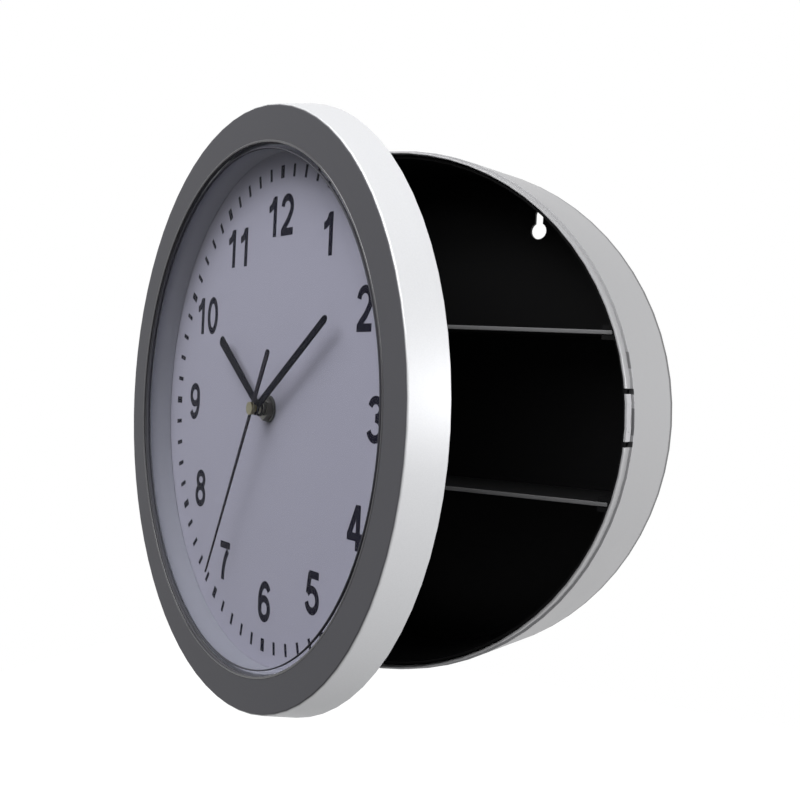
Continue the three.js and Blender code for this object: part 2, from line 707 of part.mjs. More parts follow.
function battery() {
  const half = BATTERY_LENGTH / 2;
  const profile = [
    [0, -half],
    [BATTERY_RADIUS, -half],
    [BATTERY_RADIUS, half - BATTERY_NUB],
    [BATTERY_NUB_RADIUS, half - BATTERY_NUB],
    [BATTERY_NUB_RADIUS, half],
    [0, half],
  ];
  return revolve(profile, SMALL_SIDES).rotateZ(-Math.PI / 2).translate(batteryX, batteryY, batteryZ);
}

// One of the two flat strips at the bay's ends.
function contactStrip(x0) {
  const half = CONTACT_WIDTH / 2;
  return block(x0, x0 + CONTACT_THICK, batteryY - half, batteryY + half, batteryZ - half, batteryZ + half);
}

function contactPlus() {
  return contactStrip(bayHalf - SEAT - CONTACT_THICK);
}

// The strip and tapering coil spring at the battery's flat end.
function contactMinus() {
  const x0 = SEAT - bayHalf;
  const profile = [
    [SPRING_RADIUS - SPRING_WIRE, 0],
    [SPRING_RADIUS, 0],
    [SPRING_TIP_RADIUS, SPRING_LENGTH],
    [SPRING_TIP_RADIUS - SPRING_WIRE, SPRING_LENGTH],
  ];
  const spring = revolve(profile, SMALL_SIDES).rotateZ(-Math.PI / 2);
  return joined(contactStrip(x0), spring.translate(x0 + CONTACT_THICK / 2, batteryY, batteryZ));
}

function circuitBoard() {
  const rear = rearWallY - SEAT;
  const x0 = SEAT - chamberHalf;
  const z0 = chamberFloorZ + SEAT;
  return block(x0, x0 + BOARD_WIDTH, rear - BOARD_THICK, rear, z0, z0 + BOARD_HEIGHT);
}

// The stepping motor's bobbin, lying on the case's rear wall.
function motorCoil() {
  const half = COIL_LENGTH / 2;
  const edge = COIL_FLANGE / 2;
  const winding = rod(COIL_RADIUS, -half, half).rotateZ(Math.PI / 2);
  const flanges = [-1, 1].map((side) =>
    block(side * (half - COIL_FLANGE_THICK), side * half, -edge, edge, -edge, edge),
  );
  return joined(winding, ...flanges).translate(chamberHalf - SEAT - half, rearWallY - SEAT - edge, coilZ);
}

// Hands, drawn pointing to twelve

// A bar from the axis to its tip, with straight sides and a round end.
function bar(length, root, tip) {
  const shape = new THREE.Shape();
  const round = tip / 2;
  shape.moveTo(root / 2, 0);
  shape.lineTo(round, length - round);
  shape.absarc(0, length - round, round, 0, Math.PI);
  shape.lineTo(-root / 2, 0);
  return shape;
}

function ringedHand({ length, root, tip, collar }, height, hole) {
  const y0 = dialY - height - HAND_THICK;
  const y1 = dialY - height;
  const blade = plate(bar(length, root, tip), y0, y1);
  return cut(joined(blade, rod(hole + collar, y0, y1)), rod(hole, y0 - SEAT, y1 + SEAT));
}

function secondHand() {
  const { length, root, tip, tail, tailRoot, tailTip } = SECOND_HAND;
  const y0 = dialY - secondHandHeight - HAND_THICK;
  const y1 = dialY - secondHandHeight;
  const needle = plate(bar(length, root, tip), y0, y1);
  const counterweight = plate(bar(tail, tailRoot, tailTip), y0, y1).rotateY(Math.PI);
  const cap = rod(SECOND_CAP_RADIUS, y1 - SECOND_CAP_HEIGHT, y1);
  const bore = rod(SECOND_ARBOR + FIT, y1 - CAP_BORE, y1 + SEAT, TINY_SIDES);
  return cut(joined(needle, counterweight, cap), bore);
}

// Wheels

function hourWheel() {
  const front = dialY - hourHandHeight - HAND_THICK - TUBE_PROUD;
  const phase = gapBack(MINUTE_WHEEL_DIRECTION + 180, HOUR_WHEEL_TEETH);
  const wheel = gear(HOUR_WHEEL_TEETH, HOUR_MODULE, phase, hourLevel);
  const bore = rod(hourInner, front - SEAT, hourLevel + WHEEL_THICK + SEAT);
  return cut(joined(wheel, rod(hourOuter, front, hourLevel + WHEEL_THICK / 2)), bore);
}

// The tube that carries the minute hand, cut with the teeth that drive the minute wheel.
function cannonPinion() {
  const front = dialY - minuteHandHeight - HAND_THICK - TUBE_PROUD;
  const rear = centreLevel + WHEEL_THICK + PINION_EXTRA;
  const phase = degrees(MINUTE_WHEEL_DIRECTION);
  const pinion = gear(CANNON_TEETH, MOTION_MODULE, phase, cannonLevel, WHEEL_THICK + PINION_EXTRA);
  const bore = rod(cannonInner, front - SEAT, rear + SEAT, TINY_SIDES);
  return cut(joined(rod(cannonOuter, front, rear), pinion), bore);
}

// The wheel that rides on the cannon pinion's tube and grips it by friction.
function centreWheel() {
  const phase = gapBack(THIRD_WHEEL_DIRECTION + 180, CENTRE_WHEEL_TEETH);
  const front = centreLevel + PINION_EXTRA / 2;
  const wheel = gear(CENTRE_WHEEL_TEETH, CENTRE_MODULE, phase, front);
  return cut(wheel, rod(cannonOuter + FIT, front - SEAT, front + WHEEL_THICK + SEAT));
}

function minuteWheel() {
  const phase = gapBack(MINUTE_WHEEL_DIRECTION, MINUTE_WHEEL_TEETH);
  const pinionPhase = degrees(MINUTE_WHEEL_DIRECTION + 180);
  const pinionLength = cannonLevel - hourLevel + PINION_EXTRA;
  const wheel = gear(MINUTE_WHEEL_TEETH, MOTION_MODULE, phase, cannonLevel + PINION_EXTRA / 2);
  const pinion = gear(MINUTE_PINION_TEETH, HOUR_MODULE, pinionPhase, hourLevel, pinionLength);
  const bore = rod(minuteWheelBore, hourLevel - SEAT, cannonLevel + WHEEL_THICK + PINION_EXTRA, TINY_SIDES);
  return cut(joined(wheel, pinion), bore).translate(minuteWheelAt.x, 0, minuteWheelAt.y);
}

function thirdWheel() {
  const phase = gapBack(THIRD_WHEEL_DIRECTION, THIRD_WHEEL_TEETH);
  const pinionPhase = degrees(THIRD_WHEEL_DIRECTION + 180);
  const pinionLength = thirdLevel - centreLevel + PINION_EXTRA;
  const wheel = gear(THIRD_WHEEL_TEETH, THIRD_MODULE, phase, thirdLevel + PINION_EXTRA / 2);
  const pinion = gear(THIRD_PINION_TEETH, CENTRE_MODULE, pinionPhase, centreLevel, pinionLength);
  const front = plateY + PLATE_THICK - PIVOT_DEPTH + SEAT;
  const arbor = rod(SECOND_ARBOR, front, rearWallY + PIVOT_DEPTH - SEAT, TINY_SIDES);
  return joined(wheel, pinion, arbor).translate(thirdWheelAt.x, 0, thirdWheelAt.y);
}

// The arbor that carries the second hand, with the pinion that drives the train.
function secondPinion() {
  const front = dialY - secondHandHeight - CAP_BORE + SEAT;
  const phase = degrees(THIRD_WHEEL_DIRECTION);
  const pinion = gear(SECOND_PINION_TEETH, THIRD_MODULE, phase, thirdLevel, WHEEL_THICK + PINION_EXTRA);
  return joined(pinion, rod(SECOND_ARBOR, front, rearWallY + PIVOT_DEPTH - SEAT, TINY_SIDES));
}

function settingPinion() {
  const wheelPhase = gapBack(MINUTE_WHEEL_DIRECTION, MINUTE_WHEEL_TEETH);
  const phase = phaseAgainst(MINUTE_WHEEL_TEETH, wheelPhase, SETTING_DIRECTION, SETTING_TEETH);
  const pinion = gear(SETTING_TEETH, MOTION_MODULE, phase, cannonLevel, WHEEL_THICK + PINION_EXTRA);
  const rear = rearWallY - SEAT;
  const hub = rod(SETTING_SHAFT, cannonLevel + WHEEL_THICK / 2, rear - SEAT);
  const bore = rod(settingSpigot + FIT, cannonLevel - SEAT, rear, TINY_SIDES);
  return cut(joined(pinion, hub), bore).translate(settingAt.x, 0, settingAt.y);
}

// The fluted knob behind the case, its shaft, and the spigot that holds the pinion.
function settingKnob() {
  const front = caseRearY + SEAT;
  const rear = front + KNOB_THICK;
  const rim = rod(KNOB_RADIUS, front, rear, KNOB_FLUTES * 2);
  const flutes = Array.from({ length: KNOB_FLUTES }, (_, index) => {
    const at = polar(KNOB_RADIUS + FLUTE_OUTSET, (index * 360) / KNOB_FLUTES);
    return rod(FLUTE_RADIUS, front - SEAT, rear + SEAT, FLUTE_SIDES).translate(at.x, 0, at.y);
  });
  const shaft = rod(SETTING_SHAFT, rearWallY - SEAT, front + KNOB_THICK / 2);
  const spigot = rod(settingSpigot, cannonLevel, front, TINY_SIDES);
  return joined(cut(rim, ...flutes), shaft, spigot).translate(settingAt.x, 0, settingAt.y);
}

// Assembly

const box = new THREE.Group();
box.position.y = -BOX_DEPTH;
box.add(
  mesh("box_shell", boxShell(), silverPaint),
  mesh("box_liner", boxLiner(), blackPlastic),
  mesh("shelf_upper", shelf(UPPER_SHELF_Z), blackPlastic),
  mesh("shelf_lower", shelf(LOWER_SHELF_Z), blackPlastic),
  mesh("catch_tab", catchTab(), silverPaint),
  mesh("hinge_pin", hingePin(), steel),
);

const clock = new THREE.Group();
clock.position.set(hingeX, -seamY, 0);
clock.add(
  mesh("door_bezel", doorBezel(), silverPaint),
  mesh("lens", lens(), clearPlastic),
  mesh("spacer_ring", spacerRing(), silverPaint),
  mesh("dial", dial(), dialPaper),
  mesh("door_back", doorBack(), blackPlastic),
  mesh("movement_plate", movementPlate(), greyPlastic),
  mesh("movement_case", movementCase(), greyPlastic),
  mesh("bushing_washer", bushingWasher(), rubber),
  mesh("bushing_nut", bushingNut(), steel),
  mesh("battery", battery(), batteryGreen),
  mesh("contact_plus", contactPlus(), steel),
  mesh("contact_minus", contactMinus(), steel),
  mesh("circuit_board", circuitBoard(), boardGreen),
  mesh("motor_coil", motorCoil(), copper),
  mesh("hour_wheel", hourWheel(), wheelPlastic),
  mesh("cannon_pinion", cannonPinion(), brass),
  mesh("centre_wheel", centreWheel(), wheelPlastic),
  mesh("minute_wheel", minuteWheel(), wheelPlastic),
  mesh("third_wheel", thirdWheel(), wheelPlastic),
  mesh("second_pinion", secondPinion(), steel),
  mesh("setting_pinion", settingPinion(), wheelPlastic),
  mesh("setting_knob", settingKnob(), greyPlastic),
);
screwPlaces().forEach((at, index) => clock.add(mesh(`back_screw_${index + 1}`, backScrew(at), steel)));

// A hand points to twelve as drawn, and clockwise is a positive turn about y.
const shownHour = SHOWN_HOUR + SHOWN_MINUTE / 60;
const hands = [
  ["hour_hand", ringedHand(HOUR_HAND, hourHandHeight, hourOuter + FIT), shownHour / 12],
  ["minute_hand", ringedHand(MINUTE_HAND, minuteHandHeight, cannonOuter + FIT), SHOWN_MINUTE / 60],
  ["second_hand", secondHand(), SHOWN_SECOND / 60],
];
for (const [name, geometry, share] of hands) {
  const hand = mesh(name, geometry, handBlack);
  hand.rotation.y = share * 2 * Math.PI;
  clock.add(hand);
}

const door = new THREE.Group();
door.position.set(-hingeX, hingeY - BOX_DEPTH, 0);
door.rotation.z = -degrees(OPEN_ANGLE);
door.add(clock);

const clockSafe = new THREE.Group();
clockSafe.add(box, door);

export default clockSafe;
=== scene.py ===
# %% [markdown]
# # A round wall clock that opens as a safe
# The real object is a shallow round box that hangs on the wall, with a quartz clock as its door.
# The solids come ready from the CAD model. This script gives them their finishes, prints the dial,
# and adds what is too fine for solids. All lengths in Blender are metres, so MM turns the
# millimetres that a maker would use into Blender's unit.

# %% Load the solids
import json
import math

import bmesh
import bpy
from mathutils import Matrix, Vector

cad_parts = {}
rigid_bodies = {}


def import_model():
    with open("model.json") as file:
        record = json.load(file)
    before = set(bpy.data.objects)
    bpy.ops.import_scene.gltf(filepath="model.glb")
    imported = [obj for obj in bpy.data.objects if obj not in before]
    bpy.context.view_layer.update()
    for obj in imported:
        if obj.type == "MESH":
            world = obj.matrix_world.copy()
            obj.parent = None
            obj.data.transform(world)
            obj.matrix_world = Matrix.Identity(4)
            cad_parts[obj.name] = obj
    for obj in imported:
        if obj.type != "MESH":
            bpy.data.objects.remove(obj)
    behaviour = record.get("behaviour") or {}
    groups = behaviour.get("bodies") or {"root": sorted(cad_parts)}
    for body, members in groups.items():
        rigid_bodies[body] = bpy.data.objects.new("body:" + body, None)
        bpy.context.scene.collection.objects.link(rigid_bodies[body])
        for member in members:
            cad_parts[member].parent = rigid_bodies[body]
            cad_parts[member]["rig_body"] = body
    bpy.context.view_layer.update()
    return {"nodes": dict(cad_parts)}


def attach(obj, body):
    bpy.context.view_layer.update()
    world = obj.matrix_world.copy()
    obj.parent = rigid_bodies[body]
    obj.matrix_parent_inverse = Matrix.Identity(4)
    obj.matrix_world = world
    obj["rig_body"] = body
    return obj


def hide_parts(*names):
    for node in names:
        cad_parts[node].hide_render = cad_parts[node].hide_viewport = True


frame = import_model()
nodes = frame["nodes"]
MM = 0.001

# %% [markdown]
# The door hangs open by 29 degrees, so nothing on it lies square to Blender's axes. The clock has
# its own frame instead: x runs to three o'clock, y into the clock and z to twelve, from the middle
# of its front face. Whatever belongs to the door is drawn there and then carried over by one matrix.

# %% The clock's frame
OPEN = math.radians(29)
HINGE = Vector((-131, -54.7, 0)) * MM
HINGE_IN_CLOCK = Vector((-131, 16.8, 0)) * MM

CLOCK = (Matrix.Translation(HINGE) @ Matrix.Rotation(-OPEN, 4, "Z")
         @ Matrix.Translation(-HINGE_IN_CLOCK))
CLOCK_MIDDLE = CLOCK.translation
print("the clock's face is centred at", [round(v / MM, 1) for v in CLOCK_MIDDLE], "mm")

# %% [markdown]
# The photo was taken from the right with a normal lens. Its viewpoint was found by fitting the
# outlines of the door and the box, and it is written as the place of the lens and the directions
# of the picture's right-hand side, its upper side and the way back to the lens.

# %% Camera
SENSOR_WIDTH = 36
FOCAL_LENGTH = 51.959
LENS_PLACE = Vector((257.157, -528.849, 20.712)) * MM
PICTURE_RIGHT = Vector((0.884292, 0.46395, 0.052714))
TO_LENS = Vector((0.463054, -0.885861, 0.028826))


def put_in_scene(name, data):
    made = bpy.data.objects.new(name, data)
    bpy.context.scene.collection.objects.link(made)
    return made


camera = put_in_scene("camera", bpy.data.cameras.new("camera"))
camera.data.sensor_width = SENSOR_WIDTH
camera.data.lens = FOCAL_LENGTH
turn = Matrix((PICTURE_RIGHT, TO_LENS.cross(PICTURE_RIGHT), TO_LENS)).transposed()
camera.matrix_world = Matrix.Translation(LENS_PLACE) @ turn.to_4x4()
bpy.context.scene.camera = camera
bpy.context.scene.view_settings.view_transform = "Standard"
print("camera", [round(v, 3) for v in camera.location])

# %% [markdown]
# Materials are node trees. A few small helpers keep them readable: one fills a socket, one makes a
# node with its sockets filled, and one starts a material with its Principled shader. A value that
# is the same all over the piece is typed straight into the shader's socket.

# %% Helpers for node trees
def plug(tree, socket, value):
    """Links another node's output to a socket, or types a plain value into it."""
    if isinstance(value, bpy.types.NodeSocket):
        tree.links.new(value, socket)
    else:
        socket.default_value = value


def node(tree, kind, group=None, **inputs):
    """A node with its sockets filled. The name of a socket has _ for each space."""
    made = tree.nodes.new(kind)
    if group:
        made.node_tree = group
    for name, value in inputs.items():
        plug(tree, made.inputs[name.replace("_", " ")], value)
    return made


def math_node(tree, operation, *values):
    made = tree.nodes.new("ShaderNodeMath")
    made.operation = operation
    for socket, value in zip(made.inputs, values):
        plug(tree, socket, value)
    return made.outputs[0]


def times(tree, first, second):
    """A product. For masks it means: where both hold."""
    return math_node(tree, "MULTIPLY", first, second)


def either(tree, first, second):
    """The larger of two values. For masks it means: where one or the other holds."""
    return math_node(tree, "MAXIMUM", first, second)


def near(tree, value, centre, half):
    """1 where the value lies within half of the centre, 0 elsewhere."""
    return math_node(tree, "COMPARE", value, centre, half)


def mix_shaders(tree, factor, first, second):
    mixed = node(tree, "ShaderNodeMixShader", Fac=factor)
    tree.links.new(first, mixed.inputs[1])
    tree.links.new(second, mixed.inputs[2])
    return mixed.outputs[0]


def new_material(name, colour, roughness, **sockets):
    material = bpy.data.materials.new(name)
    material.use_nodes = True
    shader = material.node_tree.nodes["Principled BSDF"]
    shader.inputs["Base Color"].default_value = (*colour, 1)
    shader.inputs["Roughness"].default_value = roughness
    for key, value in sockets.items():
        shader.inputs[key.replace("_", " ")].default_value = value
    material.diffuse_color = (*colour, 1)
    return material, material.node_tree, shader


# %% [markdown]
# Most finishes here share two effects, so each is made once as a node group. **Grain** is a fine
# even noise: it mottles a colour a little and gives a bump its height, as in moulded plastic and
# sprayed paint. **Handling** is a broad, faint unevenness of gloss from hands and cloths. Both put
# out varying values only, and the shader stays in each material.

# %% The two shared effects
def new_group(name, inputs, outputs):
    group = bpy.data.node_groups.new(name, "ShaderNodeTree")
    for label, kind, value in inputs:
        socket = group.interface.new_socket(label, in_out="INPUT", socket_type=kind)
        socket.default_value = value
    for label, kind in outputs:
        group.interface.new_socket(label, in_out="OUTPUT", socket_type=kind)
    return group, group.nodes.new("NodeGroupInput"), group.nodes.new("NodeGroupOutput")


def noise_about_zero(group, **inputs):
    """A Noise texture on the piece's own coordinates, and its swing from -1 to 1."""
    place = node(group, "ShaderNodeTexCoord").outputs["Object"]
    noise = node(group, "ShaderNodeTexNoise", Vector=place, **inputs).outputs["Fac"]
    return noise, math_node(group, "MULTIPLY_ADD", noise, 2, -1)


def make_grain():
    group, given, result = new_group(
        "grain",
        [("Colour", "NodeSocketColor", (0.5, 0.5, 0.5, 1)), ("Per metre", "NodeSocketFloat", 2000),
         ("Mottle", "NodeSocketFloat", 0.05)],
        [("Colour", "NodeSocketColor"), ("Height", "NodeSocketFloat")])
    noise, swing = noise_about_zero(group, Scale=given.outputs["Per metre"], Detail=3.0, Roughness=0.6)
    shade = math_node(group, "MULTIPLY_ADD", swing, given.outputs["Mottle"], 1)
    mottled = node(group, "ShaderNodeVectorMath")
    mottled.operation = "SCALE"
    group.links.new(given.outputs["Colour"], mottled.inputs[0])
    group.links.new(shade, mottled.inputs["Scale"])
    group.links.new(mottled.outputs[0], result.inputs["Colour"])
    group.links.new(noise, result.inputs["Height"])
    return group


def make_handling():
    group, given, result = new_group(
        "handling",
        [("Roughness", "NodeSocketFloat", 0.4), ("Spread", "NodeSocketFloat", 0.05)],
        [("Roughness", "NodeSocketFloat")])
    _, swing = noise_about_zero(group, Scale=28.0, Detail=4.0, Roughness=0.55, Distortion=0.6)
    mixed = math_node(group, "MULTIPLY_ADD", swing, given.outputs["Spread"], given.outputs["Roughness"])
    group.links.new(mixed, result.inputs["Roughness"])
    return group


GRAIN = make_grain()
HANDLING = make_handling()
print("groups:", [group.name for group in bpy.data.node_groups])

# %% [markdown]
# The table tells how each kind of surface behaves: its grains per metre, how strongly they mottle
# the colour, how strong their bump is, and how far handling spreads the gloss.

# %% Kinds of surface
BUMP_DEPTH = 0.05 * MM
KINDS = {
    "sprayed paint": (2200, 0.07, 0.14, 0.05),
    "smooth paint": (2200, 0.05, 0.08, 0.03),
    "even paint": (3000, 0.03, 0.08, 0.04),
    "lacquer": (2500, 0.1, 0.05, 0.06),
    "matt plastic": (3800, 0.12, 0.35, 0.06),
    "satin plastic": (3000, 0.1, 0.3, 0.05),
    "smooth plastic": (3000, 0.03, 0.1, 0.05),
    "rubber": (2500, 0.1, 0.3, 0.05),
    "metal": (4000, 0.06, 0.1, 0.08),
    "dark metal": (4000, 0.08, 0.1, 0.08),
    "circuit board": (900, 0.2, 0.15, 0.05),
    "card": (2600, 0.025, 0.1, 0.04),
    "ink": (3000, 0.1, 0.1, 0.04),
    "sleeve": (900, 0.05, 0.03, 0.05),
}


def finish_surface(tree, shader, colour, kind):
    """Grain in the colour and the bump, handling in the gloss."""
    per_metre, mottle, bump, spread = KINDS[kind]
    grain = node(tree, "ShaderNodeGroup", GRAIN, Colour=colour, Per_metre=per_metre, Mottle=mottle)
    tree.links.new(grain.outputs["Colour"], shader.inputs["Base Color"])
    handling = node(tree, "ShaderNodeGroup", HANDLING, Spread=spread,
                    Roughness=shader.inputs["Roughness"].default_value)
    tree.links.new(handling.outputs["Roughness"], shader.inputs["Roughness"])
    relief = node(tree, "ShaderNodeBump", Strength=bump, Distance=BUMP_DEPTH, Height=grain.outputs["Height"])
    tree.links.new(relief.outputs["Normal"], shader.inputs["Normal"])


def surface(name, colour, roughness, kind, **sockets):
    material, tree, shader = new_material(name, colour, roughness, **sockets)
    finish_surface(tree, shader, (*colour, 1), kind)
    return material


print("kinds of surface:", list(KINDS))

# %% [markdown]
# Several finishes change over one piece: the ring of the door is darker than its wall, for example,
# the box's paint is thin in places, and the second hand carries a brass cap. Each needs a mask that
# tells where a point lies. A Mapping node turns the piece's own coordinates into the clock's frame,
# and a Map Range node makes a mask out of a distance.

# %% Places and masks
def part_place(tree):
    """The shaded point in the frame of the whole part, in metres."""
    place = node(tree, "ShaderNodeTexCoord").outputs["Object"]
    return node(tree, "ShaderNodeSeparateXYZ", Vector=place).outputs


def clock_place(tree):
    """The shaded point in the clock's frame, in millimetres."""
    place = node(tree, "ShaderNodeTexCoord").outputs["Object"]
    mapping = node(tree, "ShaderNodeMapping", Vector=place, Location=CLOCK_MIDDLE,
                   Rotation=(0, 0, -OPEN), Scale=(MM, MM, MM))
    mapping.vector_type = "TEXTURE"
    return node(tree, "ShaderNodeSeparateXYZ", Vector=mapping.outputs["Vector"]).outputs


def clock_radius(tree, place):
    across = times(tree, place[0], place[0])
    return math_node(tree, "SQRT", math_node(tree, "MULTIPLY_ADD", place[2], place[2], across))


def step(tree, value, start, end):
    """0 before start, 1 after end."""
    ramp = node(tree, "ShaderNodeMapRange", Value=value, From_Min=start, From_Max=end)
    return ramp.outputs["Result"]


def mix_colours(tree, factor, first, second):
    """A Mix node for colours: its sockets 6 and 7 take them, and its output 2 gives the mixture."""
    made = node(tree, "ShaderNodeMix")
    made.data_type = "RGBA"
    tree.links.new(factor, made.inputs["Factor"])
    for index, value in ((6, first), (7, second)):
        plug(tree, made.inputs[index], (*value, 1) if isinstance(value, tuple) else value)
    return made.outputs[2]


# %% [markdown]
# The box is moulded and sprayed with silver paint. Such paint is partly metal: the flakes in it
# mirror the room softly, and the clear binder round them scatters light. A metallic value between
# 0 and 1 gives that look. The flakes show as a fine mottle. A dark grey is painted in as shade in
# three places: a painted shadow line over the last four millimetres before the wall, painted shade
# in the two slots beside the catch, and painted shadow lines on two short stretches of the step near
# the catch. A stretch is given by the height of its middle and half its length.

# %% Silver paint of the box, with painted shade
BOX_SILVER = (0.325, 0.325, 0.333)
# Painted shade: the dark grey that stands for shade on the box.
PAINTED_SHADE_GREY = (0.05, 0.05, 0.052)
REAR_SHADOW_RAMP = (-4.2 * MM, -3 * MM)
REAR_SHADOW_STRENGTH = 0.85
CATCH_SIDE = 100 * MM
CATCH_HEIGHT = 4.3 * MM
SLOT_FROM_CATCH, SLOT_HALF = 11.1 * MM, 1.2 * MM
SLOT_BACK = -54.1 * MM
STEP_DEPTH, STEP_HALF = -54.3 * MM, 0.25 * MM
SHADOW_LINE_STRETCHES = ((2.7 * MM, 5.7 * MM), (28.5 * MM, 3.5 * MM))
STEP_SHADOW_STRENGTH = 0.6

box_paint, tree, shader = new_material("box_paint", BOX_SILVER, 0.42, Metallic=0.3, Specular_IOR_Level=0.2)
place = part_place(tree)
# Painted shade: a shadow line before the wall, shade in the slots and shadow lines on the step.
rear_edge_shadow = times(tree, step(tree, place[1], *REAR_SHADOW_RAMP), REAR_SHADOW_STRENGTH)
from_catch = math_node(tree, "ABSOLUTE", math_node(tree, "SUBTRACT", place[2], CATCH_HEIGHT))
beside_catch = near(tree, from_catch, SLOT_FROM_CATCH, SLOT_HALF)
in_front = times(tree, math_node(tree, "LESS_THAN", place[1], SLOT_BACK),
                 math_node(tree, "GREATER_THAN", place[0], CATCH_SIDE))
slot_shade = times(tree, beside_catch, in_front)
stretches = either(tree, *[near(tree, place[2], *stretch) for stretch in SHADOW_LINE_STRETCHES])
on_step = times(tree, near(tree, place[1], STEP_DEPTH, STEP_HALF),
                math_node(tree, "GREATER_THAN", place[0], CATCH_SIDE))
step_shadow_lines = times(tree, times(tree, on_step, stretches), STEP_SHADOW_STRENGTH)
bare_or_painted_shade = either(tree, rear_edge_shadow, either(tree, slot_shade, step_shadow_lines))
finish_surface(tree, shader, mix_colours(tree, bare_or_painted_shade, BOX_SILVER, PAINTED_SHADE_GREY), "sprayed paint")
tongue_paint = surface("tongue_paint", (0.40, 0.40, 0.415), 0.6, "sprayed paint", Specular_IOR_Level=0.1)
print("box silver", BOX_SILVER)

# %% [markdown]
# The ring round the dial and the small chamfer inside it are painted a dark grey: painted shade,
# which stands for the bezel's silver turned from the light. Only the wall and rim behind it are
# silver, so the mask takes both the depth behind the face and the radius. The bead and the lens's
# edge, which are made further on, are darker still.

# %% Bezel paint, painted shade grey on the ring and silver on the wall
# Painted shade: the dark grey of the ring's face, over what is silver paint.
RING_SHADE_GREY = (0.082, 0.082, 0.090)
WALL_SILVER = (0.60, 0.605, 0.62)
WALL_METALLIC = 0.28
WALL_FROM_DEPTH = (0.2, 0.6)
WALL_FROM_RADIUS = (118, 118.4)

bezel_paint, tree, shader = new_material("bezel_paint", WALL_SILVER, 0.36, Specular_IOR_Level=0.02)
place = clock_place(tree)
on_wall = times(tree, step(tree, place[1], *WALL_FROM_DEPTH),
                step(tree, clock_radius(tree, place), *WALL_FROM_RADIUS))
finish_surface(tree, shader, mix_colours(tree, on_wall, RING_SHADE_GREY, WALL_SILVER), "sprayed paint")
tree.links.new(times(tree, on_wall, WALL_METALLIC), shader.inputs["Metallic"])
bead_paint = surface("bead_paint", (0.03, 0.03, 0.035), 0.16, "smooth paint")
edge_dark = surface("lens_edge_dark", (0.065, 0.065, 0.075), 0.6, "smooth paint", Specular_IOR_Level=0.03)
print("ring grey", RING_SHADE_GREY, "wall silver", WALL_SILVER)

# %% [markdown]
# Inside, the safe is black moulded plastic with a fine matt grain, and so is the door's rear plate.
# The movement's plastic is a little glossier. The shelves' front edges carry a painted highlight,
# which shows as a thin grey line across the dark. Bare metals are fully metallic, and their colour
# is what they mirror.

# %% Plain plastics, rubber and metals
SHELF_BLACK = (0.006, 0.006, 0.0065)
# Painted highlight: the paler grey on the shelves' front edges.
SHELF_EDGE_HIGHLIGHT = (0.16, 0.16, 0.165)
BEHIND_SHELF_EDGE = (-51.6 * MM, -51.2 * MM)

shelf_plastic, tree, shader = new_material("shelf_plastic", SHELF_BLACK, 0.5, Specular_IOR_Level=0.2)
behind_edge = step(tree, part_place(tree)[1], *BEHIND_SHELF_EDGE)
finish_surface(tree, shader, mix_colours(tree, behind_edge, SHELF_EDGE_HIGHLIGHT, SHELF_BLACK), "matt plastic")

black_plastic = surface("black_plastic", (0.004, 0.004, 0.0044), 0.5, "matt plastic",
                        Specular_IOR_Level=0.08)
movement_black = surface("movement_black", (0.02, 0.02, 0.022), 0.42, "satin plastic")
rubber = surface("rubber", (0.02, 0.02, 0.02), 0.7, "rubber")
spacer_paint = surface("spacer_paint", (0.24, 0.24, 0.28), 0.5, "even paint", Specular_IOR_Level=0.3)
steel = surface("steel", (0.52, 0.53, 0.54), 0.3, "metal", Metallic=1.0)
brass = surface("brass", (0.42, 0.36, 0.16), 0.32, "metal", Metallic=1.0)
dark_brass = surface("darkened_brass", (0.09, 0.086, 0.074), 0.3, "dark metal", Metallic=0.9)
wheel_white = surface("wheel_plastic", (0.72, 0.70, 0.63), 0.4, "smooth plastic")
board_green = surface("board_lacquer", (0.01, 0.09, 0.03), 0.3, "circuit board")
print("shelf", SHELF_BLACK, "with its front edge", SHELF_EDGE_HIGHLIGHT)

# %% [markdown]
# Dial and hands. The dial is a printed card, so its grain is paper fibre, faint and matt. The hands
# are stamped and lacquered black.

# %% Dial card, ink and lacquer
dial_card = surface("dial_card", (0.315, 0.305, 0.37), 0.62, "card", Specular_IOR_Level=0.05)
ink = surface("dial_ink", (0.014, 0.013, 0.022), 0.55, "ink", Specular_IOR_Level=0.0)
hand_lacquer = surface("hand_lacquer", (0.005, 0.005, 0.009), 0.45, "lacquer", Specular_IOR_Level=0.01)
print("dial, ink and lacquer:", dial_card.name, ink.name, hand_lacquer.name)

# %% [markdown]
# The lens is clear plastic. A real lamp lights the dial through it, but a renderer treats glass as
# an obstacle for lamps. Light Path's shadow ray tells when a lamp is looking for the dial, and its
# diffuse ray tells when the dial gathers light from the room: for these two the lens is let through
# as a Transparent shader. The room opposite the clock was dark, where ours is white to mirrors, so a
# low IOR keeps the lens's reflection as faint as the photo's.

# %% Clear lens
LENS_ROUGHNESS = 0.03
LENS_IOR = 1.05
clear, tree, shader = new_material("clear_plastic", (0.97, 0.98, 0.99), LENS_ROUGHNESS,
                                   Transmission_Weight=1.0, IOR=LENS_IOR)
handling = node(tree, "ShaderNodeGroup", HANDLING, Roughness=LENS_ROUGHNESS, Spread=0.02)
tree.links.new(handling.outputs["Roughness"], shader.inputs["Roughness"])
let_through = node(tree, "ShaderNodeBsdfTransparent", Color=(0.94, 0.95, 0.96, 1)).outputs[0]
light_path = node(tree, "ShaderNodeLightPath")
result = shader.outputs[0]
for ray in ("Is Shadow Ray", "Is Diffuse Ray"):
    result = mix_shaders(tree, light_path.outputs[ray], result, let_through)
tree.links.new(result, tree.nodes["Material Output"].inputs["Surface"])
print("lens with IOR", LENS_IOR)

# %% [markdown]
# The second hand ends in a brass cap at the middle. It is one piece with the hand, so a mask by
# the distance from the clock's middle colours it.

# %% Second hand with its brass cap
CAP_RADIUS = 2.8
CAP_BLUR = 0.02
CAP_BRASS = (0.17, 0.155, 0.095)
SECOND_BLACK = (0.014, 0.013, 0.02)

